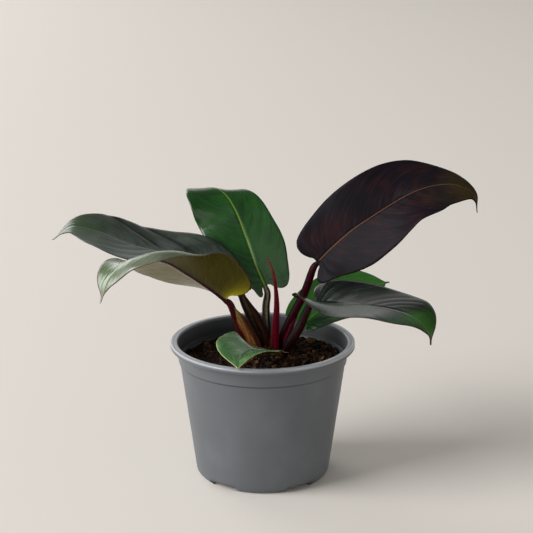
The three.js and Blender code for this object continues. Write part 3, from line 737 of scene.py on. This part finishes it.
def blade_points(leaf, vein, out):
    """Points of a blade's middle surface, and how far each is from the midrib and from the margin."""
    vein, out = np.clip(vein, 0, 1), np.clip(out, -1, 1)
    side = np.abs(out)
    start, end, wide, bend = (through([row[k] for row in VEINS], vein) for k in range(4))
    heart = np.where(out < 0, leaf["heart"][0], leaf["heart"][1])
    end_at = np.minimum(end, 0) * heart + np.maximum(end, 0)
    part = start + (end_at - start) * side**bend

    def halves(name, where):
        left, right = (through(leaf.get(half + name, UNCURLED), where) for half in ("left_", "right_"))
        return np.where(out < 0, left, right)

    half_width = np.maximum(wide * halves("width", end), np.where(end < 0, LOBE_CLEAR, 0))
    spread = half_width * side
    rise = np.radians(halves("rise", part))
    bent = np.radians(halves("curl", part)) * wide * side
    flat = (np.cos(rise) + 4 * np.cos(rise + bent / 2) + np.cos(rise + bent)) / 6
    steep = (np.sin(rise) + 4 * np.sin(rise + bent / 2) + np.sin(rise + bent)) / 6
    height, waves, shift = leaf["ripple"]
    turn = waves * part + shift + np.where(out < 0, LEFT_AHEAD, 0)
    wave = height * np.sin(2 * np.pi * turn) * wide * side * side
    place, along, facing = spine(leaf["rib"], part)
    point = place + np.cross(along, facing) * (np.sign(out) * spread * flat)[..., None]
    return point + facing * (spread * steep + wave)[..., None], spread, half_width - spread


def vein_line(vein, out):
    """Where on the midrib the side vein through a place starts: side veins run out and forward."""
    return vein - VEINS_AHEAD * np.abs(out) ** VEIN_BEND


def relief(vein, out, spread, margin, quilting):
    """Height of a blade's face over a plain one: side veins sunk between swells, the midrib's groove."""
    line = vein_line(vein, out)
    uneven = 0.55 + 0.45 * np.sin(19 * line + 4 * np.sign(out) + 1.5 * np.abs(out))
    near_edges = np.clip(spread / 4, 0, 1) * np.clip(margin / 5, 0, 1) ** 0.5
    fade = quilting * uneven * near_edges * np.clip(vein * 9 - 0.6, 0, 1)
    turn = SIDE_VEINS * line + 0.25 * np.sin(9 * line + out) + np.where(out < 0, 0.35, 0)
    sunk = np.maximum(0, np.cos(2 * np.pi * turn)) ** 10
    fine = np.maximum(0, np.cos(2 * np.pi * turn * BETWEEN_VEINS)) ** 4
    swell = 0.5 - 0.5 * np.cos(2 * np.pi * turn)
    lips = RIB_LIPS * np.exp(-(((spread - RIB_LIPS_AT) / RIB_GROOVE_HALF_WIDTH) ** 2))
    groove = np.exp(-((spread / RIB_GROOVE_HALF_WIDTH) ** 2)) - lips
    quilted = fade * (SWELL_HEIGHT * swell - SIDE_VEIN_DEPTH * sunk - FINE_VEIN_DEPTH * fine)
    return quilted - RIB_GROOVE_DEPTH * groove * (1 - 0.7 * vein)


def add_layers(bm, *names):
    """Gives a bmesh's verts float layers by name. Done first, since it makes lists of verts stale."""
    for name in names:
        bm.verts.layers.float.new(name)


def set_layers(bm, verts, **values):
    """Sets layers of these verts, each from a list of numbers."""
    for name, numbers in values.items():
        layer = bm.verts.layers.float[name]
        for vert, number in zip(verts, numbers):
            vert[layer] = number


def shape_face(bm, verts, leaf, side, quilting, creases):
    """Moves the verts of one face of a blade into place; side is 1 for the upper face, -1 for the lower."""
    layers = bm.verts.layers.float
    vein, out = (np.array([vert[layers[name]] for vert in verts]) for name in ("vein", "out"))
    point, spread, margin = blade_points(leaf, vein, out)
    step = 0.004
    forward = blade_points(leaf, vein + step, out)[0] - blade_points(leaf, vein - step, out)[0]
    outward = blade_points(leaf, vein, out + step)[0] - blade_points(leaf, vein, out - step)[0]
    normal = unit(np.cross(outward, forward))
    thin = np.exp(-margin / EDGE_TAPER)
    half = (BLADE_THICKNESS * (1 - thin) + EDGE_THICKNESS * thin) / 2
    raised = relief(vein, out, spread, margin, quilting)
    creased = np.zeros(len(vein))
    for crease in creases:
        near = np.exp(-(((vein_line(vein, out) - crease["vein"]) / crease["width"]) ** 2))
        creased += near * np.clip(out * crease["side"] * 4, 0, 1)
    raised -= CREASE_DEPTH * creased
    if side > 0:
        offset = half + raised
    else:
        bulge = MIDRIB_DEPTH * (1 - vein) * np.exp(-((spread / MIDRIB_HALF_WIDTH) ** 2))
        offset = raised - half - bulge
    for vert, place in zip(verts, (point + normal * offset[:, None]) * MM):
        vert.co = place
    set_layers(bm, verts, rib=spread, margin=margin, line=vein_line(vein, out), crease=creased)


def make_blade(name, top, under, quilting, creases=()):
    """A leaf's blade, with one material above and one below."""
    leaf = LEAVES[name]
    bm = bmesh.new()
    add_layers(bm, "vein", "out", "rib", "margin", "line", "crease")
    bmesh.ops.create_grid(bm, x_segments=BLADE_ROWS, y_segments=BLADE_COLUMNS, size=1)
    grid = list(bm.verts)
    across = np.array([vert.co.y for vert in grid])
    along = np.array([(vert.co.x + 1) / 2 for vert in grid])
    set_layers(bm, grid, vein=along, out=across * (0.45 + 0.55 * np.abs(across)))
    upper_faces = list(bm.faces)
    made = bmesh.ops.extrude_face_region(bm, geom=upper_faces, use_keep_orig=True)["geom"]
    lower = [item for item in made if isinstance(item, bmesh.types.BMVert)]
    for item in made:
        if isinstance(item, bmesh.types.BMFace):
            item.material_index = 1
    shape_face(bm, grid, leaf, 1, quilting, creases)
    shape_face(bm, lower, leaf, -1, quilting, creases)
    bmesh.ops.recalc_face_normals(bm, faces=bm.faces)
    hang(bm, "leaf_" + name, ["blade_" + name], [top, under])


def attribute(tree, name):
    return node(tree, "Attribute", attribute_name=name).outputs["Fac"]


def skin_group(name, colours, numbers, build):
    """Node group of a skin. build(tree, given) makes its colour, roughness and height of what is given."""
    tree = bpy.data.node_groups.new(name, "ShaderNodeTree")
    inputs = dict.fromkeys(colours, "Color") | dict.fromkeys(numbers, "Float")
    for in_out, sockets in (("INPUT", inputs), ("OUTPUT", SKIN_OUTPUTS)):
        for socket, kind in sockets.items():
            tree.interface.new_socket(name=socket, in_out=in_out, socket_type="NodeSocket" + kind)
    given = tree.nodes.new("NodeGroupInput").outputs
    result = tree.nodes.new("NodeGroupOutput").inputs
    for socket, value in zip(SKIN_OUTPUTS, build(tree, given)):
        tree.links.new(value, result[socket])
    return tree


def leaf_tones(tree, given):
    """Soft patches of two colours, one half of the blade pushed towards one of them as painted light and
    shade, streaks along the side veins, the midrib, the edge, painted shade in the creases, and other colours
    towards the base, the tip and its drip point. The height carries the finest veins."""
    vein_at = attribute(tree, "vein")
    place = node(tree, "TexCoord").outputs["Object"]
    out = attribute(tree, "out")
    streak_place = {0: times(tree, out, 1.6), 1: times(tree, attribute(tree, "line"), given["Streaks"])}
    streak_at = node(tree, "CombineXYZ", streak_place).outputs[0]
    streaks = noise_at(tree, streak_at, STREAKS, 4)
    threads_at = node(tree, "VectorMath", {0: streak_at, 1: (2, 3, 1)}, operation="MULTIPLY").outputs[0]
    threads = noise_at(tree, threads_at, STREAKS, 2)
    patches = noise_at(tree, place, PATCHES, 4)
    pores = noise_at(tree, place, PORES, 2)
    both = node(tree, "Mix", {"Factor": 0.55, "A": streaks, "B": patches}).outputs["Result"]
    patched = times(tree, ramp(tree, both, 0.42, 0.62), given["Patchiness"])
    # Painted light and shade: one half of the blade leans towards the Patch colour and the other away from it
    which_side = ramp(tree, out, -0.1, 0.1, -1.0, 1.0)
    half_light = times(tree, which_side, given["Right Side"])
    patched = ramp(tree, maths(tree, "ADD", patched, half_light), 0, 1)
    colour = mixed(tree, patched, given["Lamina"], given["Patch"])
    near_base = ramp(tree, vein_at, 0, given["Base End"], 1.0, 0.0)
    colour = mixed(tree, near_base, colour, given["Base"])
    wavering = maths(tree, "ADD", vein_at, ramp(tree, patches, 0, 1, -0.075, 0.075))
    near_tip = ramp(tree, wavering, given["Tip Start"], 0.97)
    colour = mixed(tree, near_tip, colour, given["Tip"])
    colour = mixed(tree, ramp(tree, vein_at, 0.93, 0.965), colour, given["Drip"])
    rib_edge = times(tree, given["Rib Width"], ramp(tree, vein_at, 0, 1, 1.0, 0.3))
    rib_out = times(tree, rib_edge, 1.7)
    on_rib = ramp(tree, attribute(tree, "rib"), rib_edge, rib_out, 1.0, 0.0)
    colour = mixed(tree, on_rib, colour, given["Rib"])
    margin_out = times(tree, given["Margin Width"], 2.2)
    on_margin = ramp(tree, attribute(tree, "margin"), given["Margin Width"], margin_out, 1.0, 0.0)
    colour = mixed(tree, on_margin, colour, given["Margin"])
    # Painted shade: the colour is darkened in the creases; fine threads along the veins make it a little
    # lighter and darker
    lit = maths(tree, "SUBTRACT", 1.0, times(tree, attribute(tree, "crease"), 0.85))
    lit = times(tree, lit, ramp(tree, threads, 0.3, 0.7, 0.78, 1.15))
    darker = node(tree, "HueSaturation", {"Value": lit, "Color": colour})
    raised_threads = times(tree, threads, ramp(tree, vein_at, 0.02, 0.2, 0.0, 0.8))
    height = maths(tree, "ADD", raised_threads, times(tree, pores, 0.25))
    return darker.outputs[0], streaks, height


leaf_skin = skin_group("leaf_skin", LEAF_COLOURS, LEAF_NUMBERS, leaf_tones)


def skinned(name, skin, colours, numbers, roughness, bump, shine):
    """Material that carries a skin with these colours and numbers."""
    inputs = {socket: paint(code) for socket, code in colours.items()} | numbers

    def build(tree):
        group = node(tree, "Group", inputs, node_tree=skin)
        return [group.outputs[socket] for socket in SKIN_OUTPUTS]

    return finish(name, build, roughness, bump, shine)


def leaf_face(
    name, lamina, patch, rib, margin, tip=None, base=None, drip=None,
    roughness=(0.2, 0.32), shine=0.4, **changed,
):
    """Material of one face of a leaf. A colour left out is the lamina's, the drip point's the tip's."""
    codes = (lamina, patch, rib, margin, tip, base, drip or tip)
    colours = {socket: code or lamina for socket, code in zip(LEAF_COLOURS, codes)}
    numbers = LEAF_NUMBERS | {word.replace("_", " ").title(): number for word, number in changed.items()}
    return skinned(name, leaf_skin, colours, numbers, roughness, (0.3, 0.00014), shine)


# Far left: blackish green above, its near half painted paler and streaked as a sheen and its far half darker,
# with two furrows across its far half, darkened as painted shade
top = leaf_face(
    "far_left_top", "#5a645e", "#303c32", "#0f1310", "#2a1518", "#3c5030", "#1c211d", "#120e0c",
    rib_width=0.5, right_side=0.5, tip_start=0.62, shine=0.6, base_end=0.35,
)
under = leaf_face("far_left_under", "#3a3420", "#2c2a1a", "#4a2a1e", "#2a1518", "#3f4a24", rib_width=1.2)
furrows = [{"vein": vein, "width": 0.018, "side": 1} for vein in (0.455, 0.555)]
make_blade("far_left", top, under, 0.35, furrows)

# Front left: seen mostly from below, olive brown with a maroon midrib; below, its tip and one half are
# painted pale grey as a sheen and its base yellow as light shining through; its upper side is grey-green,
# painted paler as a sheen
top = leaf_face(
    "front_left_top", "#5a644e", "#727a66", "#7f8a5a", "#4a2a1c", "#365418", drip="#6a5a3a",
    tip_start=0.62, shine=0.9,
)
under = leaf_face(
    "front_left_under", "#453f14", "#7c7858", "#2f0d14", "#5a2418", "#9a977c", "#b0a524",
    patchiness=0.15, right_side=0.7, base_end=0.34, tip_start=0.4, rib_width=1.1, shine=0.2,
)
make_blade("front_left", top, under, 0.25)

# Centre: fresh green and glossy, with a yellow-green midrib
top = leaf_face(
    "centre_top", "#1a4616", "#113311", "#6a8428", "#14301a",
    roughness=(0.18, 0.3), rib_width=0.75, shine=0.55,
)
under = leaf_face("centre_under", "#3a5a24", "#2f4a20", "#7a6a2a", "#24381c", rib_width=1.4)
make_blade("centre", top, under, 0.3)

# High right: purple-black with brown-red patches, a tan midrib and an olive tip
top = leaf_face(
    "high_right_top", "#18151a", "#2e1a1c", "#6a4a30", "#120c0e", "#40361e", "#0f0d0e", "#2a1210",
    patchiness=0.6, tip_start=0.66, rib_width=0.4, shine=0.03, roughness=(0.22, 0.34), base_end=0.3,
)
under = leaf_face("high_right_under", "#2c1218", "#36161c", "#4a1c1e", "#1c0e12", "#3a2a18", rib_width=1.4)
make_blade("high_right", top, under, 0.3)

# Low right: dark slate, its near half painted paler as a sheen and its far half nearly black, with a maroon
# edge and a greener tip
top = leaf_face(
    "low_right_top", "#101813", "#36443c", "#141a16", "#3a161a", "#3c6e26", "#090c0b", "#40381c",
    base_end=0.3, rib_width=0.4, right_side=0.4, shine=0.2, roughness=(0.2, 0.3),
)
under = leaf_face("low_right_under", "#34301c", "#2a1c18", "#4a201c", "#3a161a", "#3a4a20", rib_width=1.4)
make_blade("low_right", top, under, 0.4)

# Back right: the brightest green leaf, low behind the others, one half painted darker as shade
top = leaf_face(
    "back_right_top", "#457f36", "#1c3620", "#5a9a30", "#2a5a20", right_side=0.5, shine=0.2, streaks=40,
)
under = leaf_face("back_right_under", "#4a7a30", "#3a6428", "#7a8a3a", "#2a5a20", rib_width=1.2)
make_blade("back_right", top, under, 0.4)

# Small leaf at the front: green with pale edges, pale patches painted as reflections, and a drip tip dried to
# tan
top = leaf_face(
    "front_small_top", "#568a50", "#94b288", "#5f8f3a", "#a0ac70", drip="#8a4a35",
    margin_width=0.2, rib_width=0.5, shine=0.6, streaks=9,
)
under = leaf_face(
    "front_small_under", "#7a7a2c", "#5f6a28", "#9a8a3a", "#9aa85a", drip="#8a4a35", streaks=9,
)
make_blade("front_small", top, under, 0.12)

# Stalks
# Fleshy leaf stalks, round with a groove down the side that faces the leaf's upper side, and fine ridges
# down their length. Each runs on into its leaf's midrib.
JOINT_GAP = 1.1
JOINT_DROP = 1.1
NECK = 7
NECK_TURN = 2
RUN_IN = 4
RUN_IN_SINK = 0.4
RUN_IN_RADIUS = 1.6
STALK_GROOVE = 0.42
STALK_LIPS = 0.05
LIP_ANGLE = 0.75
LIP_HALF_ANGLE = 0.25
STALK_RIBS = 14
RIB_HEIGHT = 0.012
STALK_SIDES = 40
STALK_STEPS = 90
FLECKS = 420
STALK_COLOURS = ("Skin", "Flank", "Groove", "Foot", "Head")


def tube(route, radii, facing, outline, sides=STALK_SIDES, steps=STALK_STEPS):
    """Closed tube along a route. outline(angle, where) gives its form round the groove, as a multiple."""
    bm = bmesh.new()
    add_layers(bm, "front", "right", "along")
    bmesh.ops.create_grid(bm, x_segments=steps, y_segments=sides, size=1)
    verts = list(bm.verts)
    where = np.array([(vert.co.x + 1) / 2 for vert in verts])
    angle = np.array([vert.co.y * math.pi for vert in verts])
    along = heading(route, where)
    up = upright(np.broadcast_to(np.array(facing, float), along.shape), along)
    radius = through(radii, where) * outline(angle, where)
    offset = up * (radius * np.cos(angle))[:, None]
    offset += np.cross(along, up) * (radius * np.sin(angle))[:, None]
    for vert, point in zip(verts, (through(route, where) + offset) * MM):
        vert.co = point
    set_layers(bm, verts, front=np.cos(angle), right=np.sin(angle), along=where)
    bmesh.ops.remove_doubles(bm, verts=bm.verts, dist=MM / 100)
    bmesh.ops.holes_fill(bm, edges=[edge for edge in bm.edges if edge.is_boundary], sides=0)
    bmesh.ops.recalc_face_normals(bm, faces=bm.faces)
    return bm


def grooved(angle, where):
    """A round stalk with a groove between two low lips, ribbed finely all round."""
    front = np.maximum(0, np.cos(angle))
    lips = np.exp(-(((np.abs(angle) - LIP_ANGLE) / LIP_HALF_ANGLE) ** 2))
    ribs = RIB_HEIGHT * np.cos(STALK_RIBS * angle + 3 * np.sin(5 * where))
    groove = STALK_GROOVE * front**9 * np.clip((1 - where) * 12, 0.2, 1)
    return 1 - groove + STALK_LIPS * lips + ribs * (1 - front)


def stalk_tones(tree, given):
    """One colour, others on the flank, in the groove and towards the foot and head, all with fine flecks
    and streaks drawn out along the stalk."""
    front = attribute(tree, "front")
    right = attribute(tree, "right")
    along_at = attribute(tree, "along")
    line_place = {0: times(tree, front, 9), 1: times(tree, right, 9), 2: times(tree, along_at, 5)}
    line_at = node(tree, "CombineXYZ", line_place).outputs[0]
    lines = noise_at(tree, line_at, 1, 5)
    place = node(tree, "TexCoord").outputs["Object"]
    flecks = noise_at(tree, place, FLECKS, 3)
    colour = mixed(tree, ramp(tree, right, 0.5, 0.85), given["Skin"], given["Flank"])
    streaked = times(tree, ramp(tree, lines, 0.48, 0.66), given["Streaks"])
    colour = mixed(tree, streaked, colour, given["Groove"])
    broken = ramp(tree, lines, 0.3, 0.55, 0.5, 1.0)
    in_groove = times(tree, ramp(tree, front, 0.86, 0.96), broken)
    colour = mixed(tree, in_groove, colour, given["Groove"])
    ragged = maths(tree, "ADD", along_at, ramp(tree, lines, 0, 1, 0.0, 0.2))
    colour = mixed(tree, ramp(tree, ragged, 0.2, 0.5, 1.0, 0.0), colour, given["Foot"])
    colour = mixed(tree, ramp(tree, ragged, 0.75, 1.05), colour, given["Head"])
    flecked = ramp(tree, flecks, 0.3, 0.7, 0.75, 1.25)
    shaded = node(tree, "HueSaturation", {"Value": flecked, "Color": colour})
    height = maths(tree, "ADD", lines, ramp(tree, flecks, 0, 1, 0.0, 0.3))
    return shaded.outputs[0], lines, height


stalk_skin = skin_group("stalk_skin", STALK_COLOURS, ["Streaks"], stalk_tones)


def stalk_face(name, codes, streaks=0.3, roughness=(0.24, 0.4)):
    """Material of a stalk or sheath, with its five colours in the order of STALK_COLOURS."""
    colours = dict(zip(STALK_COLOURS, codes))
    return skinned(name, stalk_skin, colours, {"Streaks": streaks}, roughness, (0.4, 0.00012), shine=0.05)


def make_stalk(name, material):
    """A leaf's stalk, from the soil to its neck and on into the midrib."""
    leaf = LEAVES[name]
    place, along, facing = (value[0] for value in spine(leaf["rib"], np.zeros(1)))
    end = place - facing * JOINT_DROP - along * JOINT_GAP
    below = unit(np.array(leaf["stalk"][-1]) - end)
    neck = end + unit(below - NECK_TURN * along) * NECK
    route = [*leaf["stalk"], neck, end, end + along * RUN_IN - facing * RUN_IN_SINK]
    bm = tube(route, [*leaf["radii"], RUN_IN_RADIUS], leaf["groove"], grooved)
    hang(bm, "petiole_" + name, ["stalk_" + name], [material])


STALKS = {
    "far_left": ("dark_stalk", ("#120b0b", "#2a0e0e", "#54402a", "#1c0d0d", "#15100f"), 0.2),
    "front_left": ("red_stalk", ("#3c1216", "#260d12", "#4a201a", "#240e10", "#3a1014"), 0.3),
    "centre": ("dark_stalk", ("#17110e", "#241814", "#8c8068", "#1c1210", "#4a5a24"), 0.15),
    "high_right": ("dark_stalk", ("#120a0d", "#360a16", "#1c1013", "#200a10", "#150d11"), 0.15),
    "low_right": ("dark_stalk", ("#10120d", "#2c0c14", "#1c1e14", "#130d0b", "#141712"), 0.15),
    "back_right": ("dark_stalk", ("#2a2018", "#3a1a18", "#4a4a28", "#1c1210", "#3a5a24"), 0.3),
    "front_small": ("red_stalk", ("#5a3a1c", "#4a1a1c", "#7a6a30", "#2c1612", "#6a6a2c"), 0.3),
}
for name, (slot, codes, streaks) in STALKS.items():
    make_stalk(name, stalk_face(name + "_stalk", codes, streaks))

# Sheaths and new leaf
# The sheaths are the wings of old leaf bases, thin and fibrous, that still wrap the foot of a stalk: the
# front one has dried to tan paper, the others are maroon and crimson. The new leaf is still rolled up.
SHEATH_SIDES = 60
SHEATH_STEPS = 120
FOLDS = 9
FOLD_HEIGHT = 0.05
FIBRES = 23
FIBRE_HEIGHT = 0.03
PUCKERS = 14
PUCKER_HEIGHT = 0.06
FRONT = (0, -1, 0)
SHEATHS = {
    "front_left": {
        "route": [(-2, 8, 100), (-7, 6, 120), (-14, 3, 135), (-21, 0, 149), (-29, -4.5, 162)],
        "radii": [4, 5.2, 5, 4, 1.4],
        "slot": "tan_sheath",
        "codes": ("#60321a", "#451a16", "#865c34", "#6a3420", "#8a7440"),
        "finish": {"streaks": 0.45, "roughness": (0.5, 0.8)},
    },
    "far_left": {
        "route": [(6, 20, 100), (5, 20, 119), (-4, 20, 141), (-16, 18, 163)],
        "radii": [3.6, 4, 3.8, 1.2],
        "slot": "maroon_sheath",
        "codes": ("#1e0d0d", "#2c1010", "#40241a", "#1a0b0b", "#2a1812"),
        "finish": {"roughness": (0.4, 0.6)},
    },
    "high_right": {
        "route": [(21, 20, 100), (21, 13, 121), (26, 11, 137), (32, 10, 151)],
        "radii": [2.6, 2.8, 2.4, 1],
        "slot": "crimson_sheath",
        "codes": ("#5a0c22", "#6a1028", "#4a101e", "#2c0c14", "#4c1220"),
        "finish": {},
    },
    "crown": {
        "route": [(8, 11, 100), (8, 11, 118), (8.5, 11, 127), (9, 11, 136)],
        "radii": [2.6, 2.6, 1.8, 0.5],
        "slot": "maroon_sheath",
        "codes": ("#4a1418", "#3a1014", "#5a2a20", "#2a1012", "#5a2420"),
        "finish": {},
    },
}


def papery(angle, where):
    """Dry sheath: folds and fibres stand out down its length, and it puckers unevenly."""
    folds = FOLD_HEIGHT * np.cos(FOLDS * angle + 4 * np.sin(6 * where))
    fibres = FIBRE_HEIGHT * np.cos(FIBRES * angle + 9 * where)
    pucker = PUCKER_HEIGHT * np.sin(PUCKERS * where + 2 * np.sin(2 * angle))
    return 1 + (folds + fibres + pucker) * np.clip(where * 4, 0, 1)


for name, sheath in SHEATHS.items():
    bm = tube(sheath["route"], sheath["radii"], FRONT, papery, SHEATH_SIDES, SHEATH_STEPS)
    skin = stalk_face(name + "_sheath", sheath["codes"], **sheath["finish"])
    hang(bm, "leaf_sheath_" + name, ["sheath_" + name], [skin])

NEW_LEAF_SIDES = 72
NEW_LEAF_STEPS = 160
ROLL_EDGE = 1.2
ROLL_TWIST = 2.2
ROLL_STEP = 0.16
NEW_LEAF_RADII = [3, 2.9, 3, 2.4, 1.7, 1.3, 0.5]
NEW_LEAF_ROUTE = [
    (13, 15, 96),
    (12.3, 11, 120),
    (12.3, 10, 140),
    (12.8, 11, 158),
    (12, 12, 173.5),
    (9.8, 14, 188),
    (4.4, 16, 202.5),
]


def rolled(angle, where):
    """A rolled leaf: its outer edge makes a step that winds slowly round."""
    turn = (angle - ROLL_EDGE - ROLL_TWIST * where) / (2 * np.pi) % 1
    return 0.96 + ROLL_STEP * turn * np.minimum(1, (1 - turn) * 9) + 0.01 * np.cos(11 * angle)


bm = tube(NEW_LEAF_ROUTE, NEW_LEAF_RADII, FRONT, rolled, NEW_LEAF_SIDES, NEW_LEAF_STEPS)
# Painted light and shade: the flank on the right is a brighter crimson, as lit, and the rest a darker
# crimson, as in shade
crimson = ("#5c0619", "#8c0c2e", "#4c0514", "#6c0820", "#6a3028")
skin = stalk_face("new_leaf_skin", crimson, streaks=0.25)
hang(bm, "rolled_new_leaf", ["new_leaf"], [skin])

# Crown
# The short stem that all the stalks grow from: a dark woody knob, half sunk in the soil and ringed by the
# scars of old leaves. Its profile is spun, and its skin then pushed in and out by the rings and by noise.
CROWN_FOOT = 88
CROWN_HEAD = 118
CROWN_PROFILE = [(10, CROWN_FOOT), (17, 99.5), (12, 111), (7, 116), (0, CROWN_HEAD)]
CROWN_POINTS = 40
CROWN_STEPS = 72
SCAR_SPACING = 3.2
SCAR_HEIGHT = 0.35
CROWN_RADIUS = 20

crown_line = [(float(r), float(z)) for r, z in through(CROWN_PROFILE, np.linspace(0, 1, CROWN_POINTS))]
bm = spun([(0, CROWN_FOOT), *crown_line[:-1], (0, CROWN_HEAD)], CROWN_STEPS)
for vert in bm.verts:
    wander = 2 * noise.noise(vert.co / (8 * MM))
    ring = SCAR_HEIGHT * math.sin(2 * math.pi * vert.co.z / (SCAR_SPACING * MM) + wander)
    rough = 1 + (ring + 1.2 * noise.noise(vert.co / (3 * MM))) / CROWN_RADIUS
    vert.co.x *= rough
    vert.co.y *= rough
bmesh.ops.translate(bm, verts=bm.verts, vec=(CROWN_X * MM, CROWN_Y * MM, 0))
add_layers(bm, "front", "right", "along")
woody = ("#2c1814", "#2c1814", "#4a3024", "#2c1814", "#2c1814")
skin = stalk_face("crown_skin", woody, streaks=0.6, roughness=(0.5, 0.8))
hang(bm, "stem_crown", ["crown"], [skin])

# Floor and light
# A plain pale floor under a sky that is pale low down, one large soft light from the left front, and a weak
# one low behind on the left that puts a soft sheen on the leaves.
FLOOR_RADIUS = 8
FLOOR_COLOUR = "#f1ebe3"
SKY_COLOUR = (1, 0.98, 0.96, 1)
SKY_LOW = 0.88
SKY_HIGH = 0.14
SKY_TURNS = (0.3, 0.62)
PLANT_MIDDLE = Vector((0, 0, 0.15))

bm = bmesh.new()
bmesh.ops.create_circle(bm, cap_ends=True, segments=96, radius=FLOOR_RADIUS)
bmesh.ops.translate(bm, verts=bm.verts, vec=(0, 0, -0.1 * MM))
floor = to_object(bm, "studio_floor")
floor_material = bpy.data.materials.new("pale_floor")
floor_material.use_nodes = True
surface = floor_material.node_tree.nodes["Principled BSDF"].inputs
surface["Base Color"].default_value = paint(FLOOR_COLOUR)
surface["Roughness"].default_value = 0.9
surface["Specular IOR Level"].default_value = 0.1
floor.data.materials.append(floor_material)
floor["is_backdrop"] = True

world = bpy.data.worlds.new("pale_sky")
world.use_nodes = True
sky = world.node_tree
direction = node(sky, "TexCoord").outputs["Generated"]
steepness = node(sky, "SeparateXYZ", {0: direction}).outputs["Z"]
background = sky.nodes["Background"].inputs
background["Color"].default_value = SKY_COLOUR
sky.links.new(ramp(sky, steepness, *SKY_TURNS, SKY_LOW, SKY_HIGH), background["Strength"])
bpy.context.scene.world = world


def soft_light(name, place, size, power):
    """Square area light that faces the plant."""
    light = bpy.data.lights.new(name, "AREA")
    light.size = size
    light.energy = power
    lamp = bpy.data.objects.new(name, light)
    lamp.location = place
    lamp.rotation_euler = (Vector(place) - PLANT_MIDDLE).to_track_quat("Z", "Y").to_euler()
    bpy.context.scene.collection.objects.link(lamp)


soft_light("key", (-4.95, -1.65, 2.5), size=4.2, power=394)
soft_light("sheen", (-2.4, 3.3, 1.6), size=2.4, power=42)
bpy.context.scene.view_settings.view_transform = "Standard"

made_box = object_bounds()
sizes = {"cad": [list(corner) for corner in cad_box], "made": [list(corner) for corner in made_box]}
